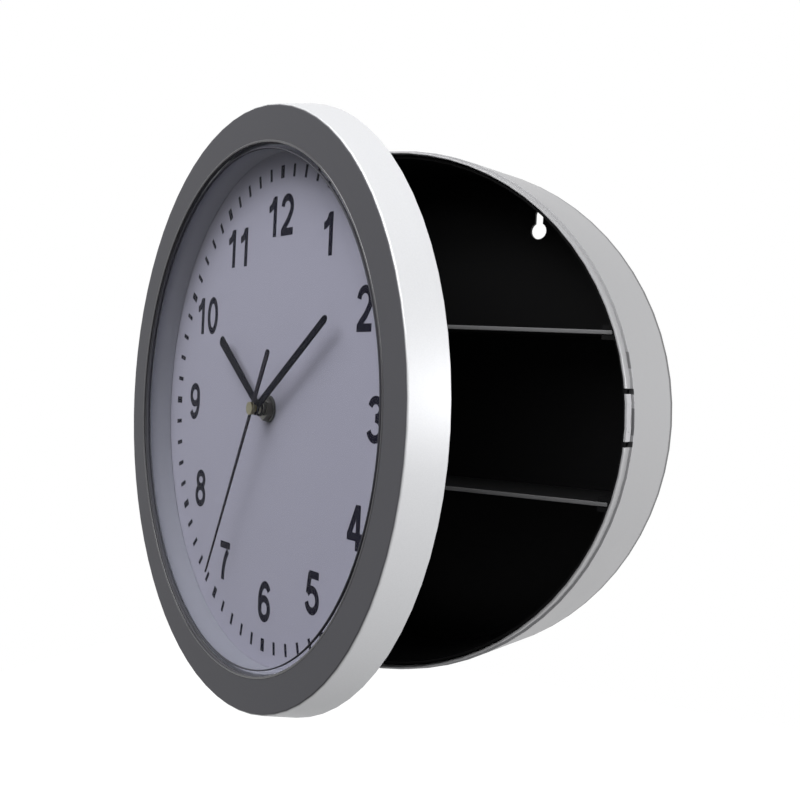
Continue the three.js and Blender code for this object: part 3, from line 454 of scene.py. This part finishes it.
second_paint, tree, shader = new_material("second_hand_paint", SECOND_BLACK, 0.36, Specular_IOR_Level=0.01)
from_middle = clock_radius(tree, clock_place(tree))
off_cap = step(tree, from_middle, CAP_RADIUS - CAP_BLUR, CAP_RADIUS + CAP_BLUR)
finish_surface(tree, shader, mix_colours(tree, off_cap, CAP_BRASS, SECOND_BLACK), "lacquer")
tree.links.new(math_node(tree, "SUBTRACT", 1, off_cap), shader.inputs["Metallic"])
print("cap of", CAP_RADIUS, "mm radius")

# %% [markdown]
# The battery's printed sleeve leaves both steel ends bare and has a lighter band at its plus end.
# The coil is wound with lacquered copper wire, which shows as fine rings round it: a Wave texture
# along the coil makes them. Where the battery lies along the clock's x axis is measured from its
# points.

# %% Battery sleeve and coil wire
TO_CLOCK = CLOCK.inverted()
SLEEVE_FROM_FLAT = 0.8
SLEEVE_FROM_PLUS = 2.2
BAND_FROM_PLUS = 13.1
PRINT_BLUR = 0.1
SLEEVE_GREEN, BAND_GOLD, BARE_END = (0.012, 0.05, 0.026), (0.55, 0.40, 0.10), (0.5, 0.5, 0.5)


def clock_points(mesh):
    """The points of a mesh in the clock's frame, in millimetres."""
    return [(TO_CLOCK @ v.co) / MM for v in mesh.vertices]


def clock_box(name):
    """The lowest and highest corners of a solid in the clock's frame, in millimetres."""
    points = clock_points(nodes[name].data)
    return (Vector([min(p[i] for p in points) for i in range(3)]),
            Vector([max(p[i] for p in points) for i in range(3)]))


flat_end, plus_end = clock_box("battery")[0].x, clock_box("battery")[1].x
battery_sleeve, tree, shader = new_material("battery_sleeve", (0.015, 0.06, 0.03), 0.28)
along = clock_place(tree)[0]
past_flat, past_plus, past_band = [
    step(tree, along, start, start + PRINT_BLUR)
    for start in (flat_end + SLEEVE_FROM_FLAT, plus_end - SLEEVE_FROM_PLUS, plus_end - BAND_FROM_PLUS)]
sleeve = mix_colours(tree, past_band, SLEEVE_GREEN, BAND_GOLD)
bare_or_painted_shade = either(tree, math_node(tree, "SUBTRACT", 1, past_flat), past_plus)
finish_surface(tree, shader, mix_colours(tree, bare_or_painted_shade, sleeve, BARE_END), "sleeve")
tree.links.new(bare_or_painted_shade, shader.inputs["Metallic"])

copper, tree, shader = new_material("copper_wire", (0.45, 0.16, 0.06), 0.35, Metallic=0.8)
turns = node(tree, "ShaderNodeCombineXYZ", X=clock_place(tree)[0])
wire = node(tree, "ShaderNodeTexWave", Vector=turns.outputs[0], Scale=1.2).outputs["Fac"]
relief = node(tree, "ShaderNodeBump", Strength=0.6, Distance=0.1 * MM, Height=wire)
tree.links.new(relief.outputs["Normal"], shader.inputs["Normal"])
tree.links.new(mix_colours(tree, wire, (0.25, 0.08, 0.03), (0.55, 0.22, 0.09)), shader.inputs["Base Color"])
print("battery from", round(flat_end, 1), "to", round(plus_end, 1), "mm")

# %% [markdown]
# Every solid gets its finish. The table names the material for each solid once.

# %% Dress the solids
FINISHES = {
    box_paint: ["box_shell"],
    tongue_paint: ["catch_tab"],
    bezel_paint: ["door_bezel"],
    spacer_paint: ["spacer_ring"],
    black_plastic: ["box_liner", "door_back"],
    shelf_plastic: ["shelf_upper", "shelf_lower"],
    clear: ["lens"],
    dial_card: ["dial"],
    hand_lacquer: ["hour_hand", "minute_hand"],
    second_paint: ["second_hand"],
    dark_brass: ["bushing_nut"],
    brass: ["cannon_pinion"],
    rubber: ["bushing_washer"],
    movement_black: ["movement_plate", "movement_case", "setting_knob"],
    steel: ["hinge_pin", "contact_plus", "contact_minus", "second_pinion", "back_screw_1",
            "back_screw_2", "back_screw_3", "back_screw_4"],
    wheel_white: ["hour_wheel", "minute_wheel", "third_wheel", "centre_wheel", "setting_pinion"],
    battery_sleeve: ["battery"],
    board_green: ["circuit_board"],
    copper: ["motor_coil"],
}
for material, names in FINISHES.items():
    for name in names:
        nodes[name].data.materials.clear()
        nodes[name].data.materials.append(material)
print("dressed", sum(len(names) for names in FINISHES.values()), "of", len(nodes), "solids")

# %% [markdown]
# A CAD solid is made of flat facets with knife-sharp edges. On painted and moulded pieces the
# facets would catch the light one by one. A copy with its points joined can be shaded smooth, and
# a Bevel modifier rounds its edges so that they catch a thin line of light, as real ones do. The
# copy then stands for the solid. The table gives each rounding in millimetres, and 0 leaves a
# piece's edges as they are.

# %% Smooth copies of what shows
SAME_POINT = 1e-6
FLAT_ANGLE = math.radians(0.5)
EDGE_ANGLE = math.radians(30)
ROUNDINGS = {"door_bezel": 0.2, "box_shell": 0.25, "box_liner": 0, "spacer_ring": 0, "lens": 0.15,
             "shelf_upper": 0.3, "shelf_lower": 0.3, "catch_tab": 0.2, "door_back": 0.25,
             "movement_case": 0.25, "setting_knob": 0.15, "hour_hand": 0.1, "minute_hand": 0.1,
             "second_hand": 0.06, "bushing_nut": 0.1, "hinge_pin": 0.1, "battery": 0}


def smooth_copy(name, rounding):
    mesh = nodes[name].data.copy()
    work = bmesh.new()
    work.from_mesh(mesh)
    bmesh.ops.remove_doubles(work, verts=work.verts, dist=SAME_POINT)
    bmesh.ops.dissolve_limit(work, angle_limit=FLAT_ANGLE, verts=work.verts, edges=work.edges)
    for face in work.faces:
        face.smooth = True
    for edge in work.edges:
        edge.smooth = len(edge.link_faces) == 2 and edge.calc_face_angle(0) < EDGE_ANGLE
    work.to_mesh(mesh)
    work.free()
    piece = put_in_scene(name + "_finished", mesh)
    if rounding:
        bevel = piece.modifiers.new("rounding", "BEVEL")
        bevel.width = rounding * MM
        bevel.segments = 2
        bevel.limit_method = "ANGLE"
        bevel.angle_limit = EDGE_ANGLE
        piece.modifiers.new("normals", "WEIGHTED_NORMAL")
    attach(piece, nodes[name]["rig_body"])
    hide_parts(name)
    return piece


for name, rounding in ROUNDINGS.items():
    piece = smooth_copy(name, rounding)
    print(piece.name, len(piece.data.polygons), "faces")

# %% [markdown]
# Seen closely, the stamped hands aren't quite the plain bars of the solids. The hour hand is
# broader, the minute hand a little narrower, and the second hand a little finer, with a longer
# tail. The finished hands get these trims outside their hubs, along and across the hand's line.
# The line is found from the points of the hand's outer end.

# %% Trim the hands
HUB_RADIUS = 6.5
OUTER_END = 0.8


def trim_hand(name, at_hub, at_tip, tail_length=1.0):
    """Scales a hand's breadth from its hub to its tip, and the length of its tail."""
    mesh = bpy.data.objects[name + "_finished"].data
    points = clock_points(mesh)
    reach = max(math.hypot(p.x, p.z) for p in points)
    far = [p for p in points if math.hypot(p.x, p.z) > OUTER_END * reach]
    along = Vector((sum(p.x for p in far), 0, sum(p.z for p in far))).normalized()
    across = Vector((along.z, 0, -along.x))
    for vertex, p in zip(mesh.vertices, points):
        out, aside = p.dot(along), p.dot(across)
        breadth = at_hub + (at_tip - at_hub) * out / reach if out > HUB_RADIUS else 1.0
        length = tail_length if out < -HUB_RADIUS else 1.0
        trimmed = along * out * length + across * aside * breadth + Vector((0, p.y, 0))
        vertex.co = CLOCK @ (trimmed * MM)
    print(name, "reaches", round(reach, 1), "mm")


trim_hand("hour_hand", at_hub=1.42, at_tip=1.45)
trim_hand("minute_hand", at_hub=0.86, at_tip=0.81)
trim_hand("second_hand", at_hub=0.8, at_tip=0.7, tail_length=1.085)

# %% [markdown]
# The dial carries twelve printed numerals in a plain sans-serif. Each digit is drawn as a sign
# painter would: a few strokes of one width, straight or along part of an ellipse, on a body 11.2 mm
# wide and 16.5 mm tall. An ellipse is given by its middle, its two radii and the angles at which
# the brush starts and stops.

# %% The strokes of the ten digits
STROKE = 3.0
DIGIT_HEIGHT = 16.5
DIGIT_ADVANCE = 12.4


def bow(x, y, across, high, start, stop, parts=20):
    """Points along an ellipse from one angle to another, in degrees."""
    turns = [math.radians(start + (stop - start) * i / parts) for i in range(parts + 1)]
    return [(x + across * math.cos(t), y + high * math.sin(t)) for t in turns]


def ring(x, y, across, high):
    return bow(x, y, across, high, 0, 360, 32)


DIGITS = {
    "0": [ring(5.6, 8.25, 4.25, 6.9)],
    "1": [[(6.95, 0), (6.95, 16.5)], bow(1.3, 16.7, 4.9, 5.1, 270, 350, 8)],
    "2": [bow(5.55, 11.1, 4.1, 4.05, 172, -28) + [(6.6, 5.9), (2.6, 2.6), (1.7, 1.0)],
          [(0.4, 1.35), (10.9, 1.35)]],
    "3": [bow(5.35, 11.95, 3.75, 3.2, 165, -90), bow(5.35, 5.05, 4.3, 3.7, 90, -165)],
    "4": [[(7.9, 0), (7.9, 16.5)], [(7.3, 15.9), (1.5, 5.0)], [(0.2, 4.95), (11.1, 4.95)]],
    "5": [[(10.2, 15.15), (2.6, 15.15)], [(3.3, 15.6), (1.9, 7.6)],
          bow(5.35, 5.45, 4.3, 4.1, 148, -165)],
    "6": [ring(5.65, 5.35, 4.15, 4.0), bow(6.1, 8.25, 4.7, 6.9, 42, 215)],
    "7": [[(0.5, 15.1), (10.6, 15.1)], bow(12.8, 0.2, 8.6, 14.4, 118, 181, 12)],
    "8": [ring(5.6, 12.1, 3.6, 3.05), ring(5.6, 5.1, 4.2, 3.75)],
    "9": [ring(5.55, 11.15, 4.15, 4.0), bow(5.1, 8.25, 4.7, 6.9, -138, 35)],
}
print("strokes in all digits:", sum(len(strokes) for strokes in DIGITS.values()))

# %% [markdown]
# A stroke becomes a thin flat bar: every point of its path is pushed half a stroke to the left and
# to the right. Strokes of one digit overlap where they meet, so a small Geometry Nodes tree unites
# them: a Mesh Boolean with self intersection leaves a single outline. The print sits a little askew
# in the door, so one matrix turns and shifts the whole of it.

# %% From strokes to printed numerals
DIAL_DEPTH = 13.8
INK_THICK = 0.04
INK_GAP = 0.01
INK_DEPTH = DIAL_DEPTH - INK_THICK / 2 - INK_GAP
NUMERAL_RADIUS = 81.5
NUMERAL_HEIGHT = 17.2
CLOSED_WITHIN = 1e-6
PRINT_SHIFT = 2.7
PRINT_TURN = math.radians(-0.7)
PRINT_ON_DIAL = Matrix.Translation((PRINT_SHIFT, 0, 0)) @ Matrix.Rotation(PRINT_TURN, 4, "Y")
UPRIGHT = Matrix.Rotation(math.pi / 2, 4, "X")


def as_mesh(obj, name):
    """The evaluated result of an object, as a plain mesh object at the origin."""
    depsgraph = bpy.context.evaluated_depsgraph_get()
    mesh = bpy.data.meshes.new_from_object(obj.evaluated_get(depsgraph), depsgraph=depsgraph)
    mesh.name = name
    made = put_in_scene(name, mesh)
    bpy.data.objects.remove(obj)
    return made


def from_work(work, name):
    """Ends a bmesh and returns it as a mesh object."""
    bmesh.ops.recalc_face_normals(work, faces=work.faces)
    mesh = bpy.data.meshes.new(name)
    work.to_mesh(mesh)
    work.free()
    return put_in_scene(name, mesh)


def on_door(piece, material):
    """Moves a piece's points from the clock's frame in millimetres to its place on the door."""
    piece.data.transform(CLOCK @ Matrix.Scale(MM, 4))
    piece.data.materials.clear()
    piece.data.materials.append(material)
    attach(piece, "door")
    return piece


def brush(work, path, shift):
    """Adds one stroke to a bmesh as a closed flat bar."""
    closed = math.dist(path[0], path[-1]) < CLOSED_WITHIN
    points = [Vector(p) for p in (path[:-1] if closed else path)]
    rows = []
    for i, point in enumerate(points):
        before = points[i - 1] if closed or i else point
        after = points[(i + 1) % len(points)] if closed or i + 1 < len(points) else point
        along = (after - before).normalized()
        aside = Vector((-along.y, along.x)) * STROKE / 2
        rows.append([work.verts.new((p.x + shift, p.y, z)) for p, z in (
            (point + aside, INK_THICK / 2), (point - aside, INK_THICK / 2),
            (point - aside, -INK_THICK / 2), (point + aside, -INK_THICK / 2))])
    pairs = list(zip(rows, rows[1:] + (rows[:1] if closed else [])))
    for first, second in pairs:
        for i in range(4):
            j = (i + 1) % 4
            work.faces.new((first[i], second[i], second[j], first[j]))
    if not closed:
        work.faces.new(rows[0])
        work.faces.new(reversed(rows[-1]))


def boolean(tree, operation, first, *others):
    """Unites all the parts, or cuts the others out of the first."""
    made = tree.nodes.new("GeometryNodeMeshBoolean")
    made.operation = operation
    if operation == "DIFFERENCE":
        tree.links.new(first, made.inputs["Mesh 1"])
    else:
        tree.links.new(first, made.inputs["Mesh 2"])
    for part in others:
        tree.links.new(part, made.inputs["Mesh 2"])
    return made


def unite_tree():
    tree = bpy.data.node_groups.new("unite_strokes", "GeometryNodeTree")
    for in_out in ("INPUT", "OUTPUT"):
        tree.interface.new_socket("Geometry", in_out=in_out, socket_type="NodeSocketGeometry")
    given, result = tree.nodes.new("NodeGroupInput"), tree.nodes.new("NodeGroupOutput")
    unite = boolean(tree, "UNION", given.outputs[0])
    unite.solver = "EXACT"
    unite.inputs["Self Intersection"].default_value = True
    tree.links.new(unite.outputs["Mesh"], result.inputs[0])
    return tree


UNITE = unite_tree()


def numeral(hour):
    work = bmesh.new()
    for place, digit in enumerate(str(hour)):
        for path in DIGITS[digit]:
            brush(work, path, place * DIGIT_ADVANCE)
    carrier = from_work(work, "strokes")
    carrier.modifiers.new("unite", "NODES").node_group = UNITE
    piece = as_mesh(carrier, f"numeral_{hour}")
    across = [v.co.x for v in piece.data.vertices]
    angle = math.radians(30 * hour)
    middle = Vector((NUMERAL_RADIUS * math.sin(angle) - (min(across) + max(across)) / 2, INK_DEPTH,
                     NUMERAL_RADIUS * math.cos(angle) - NUMERAL_HEIGHT / 2))
    taller = Matrix.Diagonal((1, NUMERAL_HEIGHT / DIGIT_HEIGHT, 1, 1))
    piece.data.transform(PRINT_ON_DIAL @ Matrix.Translation(middle) @ UPRIGHT @ taller)
    return on_door(piece, ink)


for hour in range(1, 13):
    piece = numeral(hour)
print("the last numeral has", len(piece.data.polygons), "faces")

# %% [markdown]
# Sixty marks run round the dial, every fifth one bolder for the hour. This is what Geometry Nodes
# do well: a circle of sixty points, one mark put on each, and a choice between two bars by the
# point's number. The sizes are inputs of the tree, so they can be changed in one place.

# %% Minute marks by Geometry Nodes
MINUTES = 60
MINUTES_TO_A_NUMERAL = 5
BAR_FACES = 6


def tree_with(name, inputs):
    tree = bpy.data.node_groups.new(name, "GeometryNodeTree")
    tree.interface.new_socket("Geometry", in_out="OUTPUT", socket_type="NodeSocketGeometry")
    for label, kind, value in inputs:
        socket = tree.interface.new_socket(label, in_out="INPUT", socket_type=kind)
        socket.default_value = value
    return tree, tree.nodes.new("NodeGroupInput"), tree.nodes.new("NodeGroupOutput")


def end_tree(tree, geometry, material, result):
    """Turns instances into real geometry, gives it its material and puts it out."""
    real = node(tree, "GeometryNodeRealizeInstances", Geometry=geometry).outputs["Geometry"]
    dressed = node(tree, "GeometryNodeSetMaterial", Geometry=real, Material=material)
    tree.links.new(dressed.outputs["Geometry"], result.inputs["Geometry"])
    return tree


def bake_tree(tree, name, **values):
    """Runs a tree on an empty mesh with the given inputs and returns its result as a plain mesh."""
    carrier = put_in_scene(name, bpy.data.meshes.new(name))
    modifier = carrier.modifiers.new(name, "NODES")
    modifier.node_group = tree
    for item in tree.interface.items_tree:
        key = item.name.replace(" ", "_")
        if item.in_out == "INPUT" and key in values:
            modifier[item.identifier] = values[key]
    return as_mesh(carrier, name)


def minute_marks_tree():
    tree, given, result = tree_with("minute_marks", [
        ("Radius", "NodeSocketFloat", 100.0), ("Length", "NodeSocketFloat", 5.0),
        ("Hour width", "NodeSocketFloat", 1.6), ("Minute width", "NodeSocketFloat", 0.6),
        ("Thickness", "NodeSocketFloat", 0.04), ("Ink", "NodeSocketMaterial", None)])
    circle = node(tree, "GeometryNodeMeshCircle", Vertices=MINUTES, Radius=given.outputs["Radius"])
    bars = []
    for width in ("Hour width", "Minute width"):
        size = node(tree, "ShaderNodeCombineXYZ", X=given.outputs["Length"], Y=given.outputs[width],
                    Z=given.outputs["Thickness"])
        bars.append(node(tree, "GeometryNodeMeshCube", Size=size.outputs[0]).outputs["Mesh"])
    both = tree.nodes.new("GeometryNodeGeometryToInstance")
    for bar in reversed(bars):
        tree.links.new(bar, both.inputs["Geometry"])
    number = node(tree, "GeometryNodeInputIndex").outputs[0]
    past_numeral = math_node(tree, "MODULO", number, MINUTES_TO_A_NUMERAL)
    is_minute = math_node(tree, "GREATER_THAN", past_numeral, 0.5)
    turn = times(tree, number, math.tau / MINUTES)
    rotation = node(tree, "ShaderNodeCombineXYZ", X=0.0, Y=0.0, Z=turn)
    placed = node(tree, "GeometryNodeInstanceOnPoints", Points=circle.outputs["Mesh"],
                  Pick_Instance=True, Instance=both.outputs["Instances"], Instance_Index=is_minute,
                  Rotation=rotation.outputs[0])
    return end_tree(tree, placed.outputs["Instances"], given.outputs["Ink"], result)


marks = bake_tree(minute_marks_tree(), "minute_marks", Radius=99.9, Length=5.4, Hour_width=3.1,
                  Minute_width=1.9, Thickness=INK_THICK, Ink=ink)
marks.data.transform(PRINT_ON_DIAL @ Matrix.Translation((0, INK_DEPTH, 0)) @ UPRIGHT)
on_door(marks, ink)
print("minute marks:", len(marks.data.polygons) // BAR_FACES)

# %% [markdown]
# Four self-tapping screws hold the door's back plate. A real one has a cross recess and a thread
# rolled round its shank. The tree below sweeps a small triangle along a spiral for the thread and
# cuts two crossed bars out of the head. It puts one screw on each corner of a square, each turned by
# its own random angle, because screws never stop alike. Where they sit is measured from the solids.

# %% Back screws by Geometry Nodes
HEAD_HEIGHT = 1.4
DOME_TO_HEAD = 0.5
RECESS_TO_HEAD = (1.1, 0.24)
CORE_TO_SHANK = 0.75
THREAD_TO_SHANK = 0.24
TIP_RADIUS = 0.05


def along_z(tree, value):
    return node(tree, "ShaderNodeCombineXYZ", Z=value).outputs[0]


def turned(tree, geometry, angle):
    return node(tree, "GeometryNodeTransform", Geometry=geometry, Rotation=(0, 0, angle)).outputs[0]


def raised(tree, geometry, height):
    return node(tree, "GeometryNodeTransform", Geometry=geometry,
                Translation=along_z(tree, height)).outputs[0]


def joined(tree, *parts):
    join = tree.nodes.new("GeometryNodeJoinGeometry")
    for part in parts:
        tree.links.new(part, join.inputs[0])
    return join.outputs[0]


def sweep(tree, curve, profile_sides, profile_radius):
    """A closed tube along a curve."""
    profile = node(tree, "GeometryNodeCurvePrimitiveCircle", Resolution=profile_sides, Radius=profile_radius)
    return node(tree, "GeometryNodeCurveToMesh", Curve=curve, Profile_Curve=profile.outputs["Curve"],
                Fill_Caps=True).outputs["Mesh"]


def screw_tree():
    tree, given, result = tree_with("cross_screws", [
        ("Shank radius", "NodeSocketFloat", 0.9), ("Length", "NodeSocketFloat", 8.0),
        ("Pitch", "NodeSocketFloat", 0.9), ("Head radius", "NodeSocketFloat", 2.3),
        ("Head height", "NodeSocketFloat", 1.4), ("Circle", "NodeSocketFloat", 113.0),
        ("Seed", "NodeSocketInt", 4), ("Steel", "NodeSocketMaterial", None)])
    shank, length = given.outputs["Shank radius"], given.outputs["Length"]
    head, high = given.outputs["Head radius"], given.outputs["Head height"]
    half_high = times(tree, high, 0.5)
    core = times(tree, shank, CORE_TO_SHANK)
    threaded = math_node(tree, "SUBTRACT", length, shank)

    rim = node(tree, "GeometryNodeMeshCylinder", Vertices=32, Radius=head, Depth=half_high).outputs["Mesh"]
    rim = raised(tree, rim, times(tree, high, 0.25))
    dome = node(tree, "GeometryNodeMeshCone", Vertices=32, Radius_Bottom=head, Depth=half_high,
                Radius_Top=times(tree, head, DOME_TO_HEAD)).outputs["Mesh"]
    dome = raised(tree, dome, half_high)
    long_side, short_side = [times(tree, head, share) for share in RECESS_TO_HEAD]
    bar_size = node(tree, "ShaderNodeCombineXYZ", X=long_side, Y=short_side, Z=high).outputs[0]
    bar = raised(tree, node(tree, "GeometryNodeMeshCube", Size=bar_size).outputs["Mesh"], high)
    cross = joined(tree, bar, turned(tree, bar, math.pi / 2))
    whole = boolean(tree, "UNION", rim, dome).outputs["Mesh"]
    recessed = boolean(tree, "DIFFERENCE", whole, cross).outputs["Mesh"]

    stem = node(tree, "GeometryNodeMeshCylinder", Vertices=24, Radius=core, Depth=threaded).outputs["Mesh"]
    stem = raised(tree, stem, times(tree, threaded, -0.5))
    tip = node(tree, "GeometryNodeMeshCone", Vertices=24, Radius_Top=core, Radius_Bottom=TIP_RADIUS,
               Depth=shank).outputs["Mesh"]
    tip = raised(tree, tip, times(tree, length, -1))
    spiral = node(tree, "GeometryNodeCurveSpiral", Resolution=20, Start_Radius=core, End_Radius=core,
                  Rotations=math_node(tree, "DIVIDE", threaded, given.outputs["Pitch"]),
                  Height=threaded).outputs["Curve"]
    thread = sweep(tree, spiral, 3, times(tree, shank, THREAD_TO_SHANK))
    thread = raised(tree, thread, times(tree, threaded, -1))
    screw = joined(tree, recessed, stem, tip, thread)

    square = node(tree, "GeometryNodeMeshCircle", Vertices=4, Radius=given.outputs["Circle"])
    square = turned(tree, square.outputs["Mesh"], math.pi / 4)
    angle = node(tree, "FunctionNodeRandomValue", Seed=given.outputs["Seed"])
    angle.inputs[3].default_value = math.pi  # the largest turn
    placed = node(tree, "GeometryNodeInstanceOnPoints", Points=square, Instance=screw,
                  Rotation=along_z(tree, angle.outputs[1]))
    return end_tree(tree, placed.outputs["Instances"], given.outputs["Steel"], result)


low, high = clock_box("back_screw_1")
middle = (low + high) / 2
screws = bake_tree(screw_tree(), "back_screws_finished", Circle=math.hypot(middle.x, middle.z), Seed=7,
                   Length=high.y - low.y - HEAD_HEIGHT, Head_radius=(high.x - low.x) / 2,
                   Head_height=HEAD_HEIGHT, Steel=steel)
screws.data.transform(Matrix.Translation((0, high.y - HEAD_HEIGHT, 0))
                      @ Matrix.Rotation(-math.pi / 2, 4, "X"))
on_door(screws, steel)
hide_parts("back_screw_1", "back_screw_2", "back_screw_3", "back_screw_4")
print("screws:", len(screws.data.polygons), "faces, head", round(high.x - low.x, 1), "mm across")

# %% [markdown]
# The contact at the battery's flat end is a flat strip with a tapering coil spring. The solid shows
# the spring as a plain cone, and here it becomes a real coil of wire: one spiral, swept.

# %% Contact spring by Geometry Nodes
def spring_tree():
    tree, given, result = tree_with("contact_spring", [
        ("Strip", "NodeSocketVector", (8, 8, 0.4)), ("Wire radius", "NodeSocketFloat", 0.35),
        ("Wide radius", "NodeSocketFloat", 3.2), ("Tip radius", "NodeSocketFloat", 1.85),
        ("Height", "NodeSocketFloat", 2.7), ("Turns", "NodeSocketFloat", 3.5),
        ("Steel", "NodeSocketMaterial", None)])
    strip = node(tree, "GeometryNodeMeshCube", Size=given.outputs["Strip"]).outputs["Mesh"]
    spiral = node(tree, "GeometryNodeCurveSpiral", Resolution=28, Rotations=given.outputs["Turns"],
                  Start_Radius=given.outputs["Wide radius"], End_Radius=given.outputs["Tip radius"],
                  Height=given.outputs["Height"])
    coil = sweep(tree, spiral.outputs["Curve"], 8, given.outputs["Wire radius"])
    coil = raised(tree, coil, given.outputs["Wire radius"])
    return end_tree(tree, joined(tree, strip, coil), given.outputs["Steel"], result)


STRIP_THICK = 0.4
WIRE_THICK = 0.7
low, high = clock_box("contact_minus")
middle = (low + high) / 2
contact = bake_tree(spring_tree(), "contact_minus_finished", Steel=steel,
                    Height=high.x - low.x - STRIP_THICK / 2 - WIRE_THICK)
contact.data.transform(Matrix.Translation((low.x + STRIP_THICK / 2, middle.y, middle.z))
                       @ Matrix.Rotation(math.pi / 2, 4, "Y"))
on_door(contact, steel)
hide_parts("contact_minus")
print("contact:", len(contact.data.polygons), "faces")

# %% [markdown]
# A thin polished bead runs round the window, at the ring's inner edge, and a low matt dark edge
# frames the lens just inside it. The bead catches light where it faces the lamps, and the dark edge
# draws a fine line. Each is a small oval swept along a large circle.

# %% Bead round the window and edge of the lens
HOOP_STEPS = 180
HOOP_SIDES = 10


def hoop(name, radius, half_wide, depth, half_deep):
    """A closed ring of oval section: its radius, its depth behind the face, and half its two sizes."""
    work = bmesh.new()
    tilts = [math.tau * j / HOOP_SIDES for j in range(HOOP_SIDES)]
    section = [(radius + half_wide * math.cos(tilt), half_deep * math.sin(tilt)) for tilt in tilts]
    rounds = []
    for i in range(HOOP_STEPS):
        turn = math.tau * i / HOOP_STEPS
        rounds.append([work.verts.new((out * math.cos(turn), depth + deep, out * math.sin(turn)))
                       for out, deep in section])
    for i, here in enumerate(rounds):
        following = rounds[(i + 1) % HOOP_STEPS]
        for j in range(HOOP_SIDES):
            k = (j + 1) % HOOP_SIDES
            work.faces.new((here[j], following[j], following[k], here[k])).smooth = True
    return from_work(work, name)


bead = hoop("window_bead", radius=110.1, half_wide=0.55, depth=0.15, half_deep=0.45)
on_door(bead, bead_paint)
edge = hoop("lens_edge", radius=107.3, half_wide=0.3, depth=1.15, half_deep=0.7)
on_door(edge, edge_dark)
print("bead and edge:", len(bead.data.polygons), len(edge.data.polygons), "faces")

# %% [markdown]
# A plain pale floor and soft studio light. The object hangs on a wall, so the floor lies well below
# it. Rays from the camera, and those that metal and glass send out, see the floor and the world as
# white; the lamps stay at a plain level. The main lamp stands to the right, as in the photo, where
# the door's wall is bright and its face is in half shade. Two large lamps in front, one high on the
# left and one high behind the camera, fill the shadows.

# %% Floor, world and lamps
FLOOR_HALF = 0.6
FLOOR_Z = -0.3
FLOOR_GLOW = 0.9
ROOM_LIGHT, ROOM_SEEN = 0.1, 1.0
LIT_POINT = Vector((0, -0.1, 0))
LAMPS = {"right_lamp": {"place": (1.3, 0.05, 0.15), "size": 0.6, "power": 17},
         "front_lamp": {"place": (-0.5, -0.85, 1.2), "size": 1.4, "power": 24},
         "fill_lamp": {"place": (0.1, -1.35, 0.9), "size": 1.2, "power": 12}}

floor_mesh = bpy.data.meshes.new("floor")
floor_mesh.from_pydata([(x * FLOOR_HALF, y * FLOOR_HALF, FLOOR_Z) for x, y in
                        ((-1, -1), (1, -1), (1, 1), (-1, 1))], [], [(0, 1, 2, 3)])
floor = put_in_scene("floor", floor_mesh)


def white_to_sight(tree):
    """1 for rays from the camera, off metal and through glass, and 0 for the light itself."""
    path = node(tree, "ShaderNodeLightPath")
    seen = either(tree, path.outputs["Is Camera Ray"], path.outputs["Is Glossy Ray"])
    return either(tree, seen, path.outputs["Is Transmission Ray"])


floor_paint, tree, shader = new_material("floor_paint", (0.2, 0.2, 0.2), 0.9, Specular_IOR_Level=0.1)
glow = node(tree, "ShaderNodeEmission", Strength=FLOOR_GLOW)
both = node(tree, "ShaderNodeAddShader")
tree.links.new(shader.outputs[0], both.inputs[0])
tree.links.new(glow.outputs[0], both.inputs[1])
seen = mix_shaders(tree, white_to_sight(tree), shader.outputs[0], both.outputs[0])
tree.links.new(seen, tree.nodes["Material Output"].inputs["Surface"])
floor_mesh.materials.append(floor_paint)

world = bpy.data.worlds.new("studio")
bpy.context.scene.world = world
world.use_nodes = True
tree = world.node_tree
room, white = [node(tree, "ShaderNodeBackground", Color=(1, 1, 1, 1), Strength=strength).outputs[0]
               for strength in (ROOM_LIGHT, ROOM_SEEN)]
seen = mix_shaders(tree, white_to_sight(tree), room, white)
tree.links.new(seen, tree.nodes["World Output"].inputs["Surface"])

for name, lamp in LAMPS.items():
    light = bpy.data.lights.new(name, "AREA")
    light.shape = "DISK"
    light.size = lamp["size"]
    light.energy = lamp["power"]
    made = put_in_scene(name, light)
    made.location = lamp["place"]
    made.rotation_euler = (LIT_POINT - Vector(lamp["place"])).to_track_quat("-Z", "Y").to_euler()
print("lamps:", list(LAMPS))
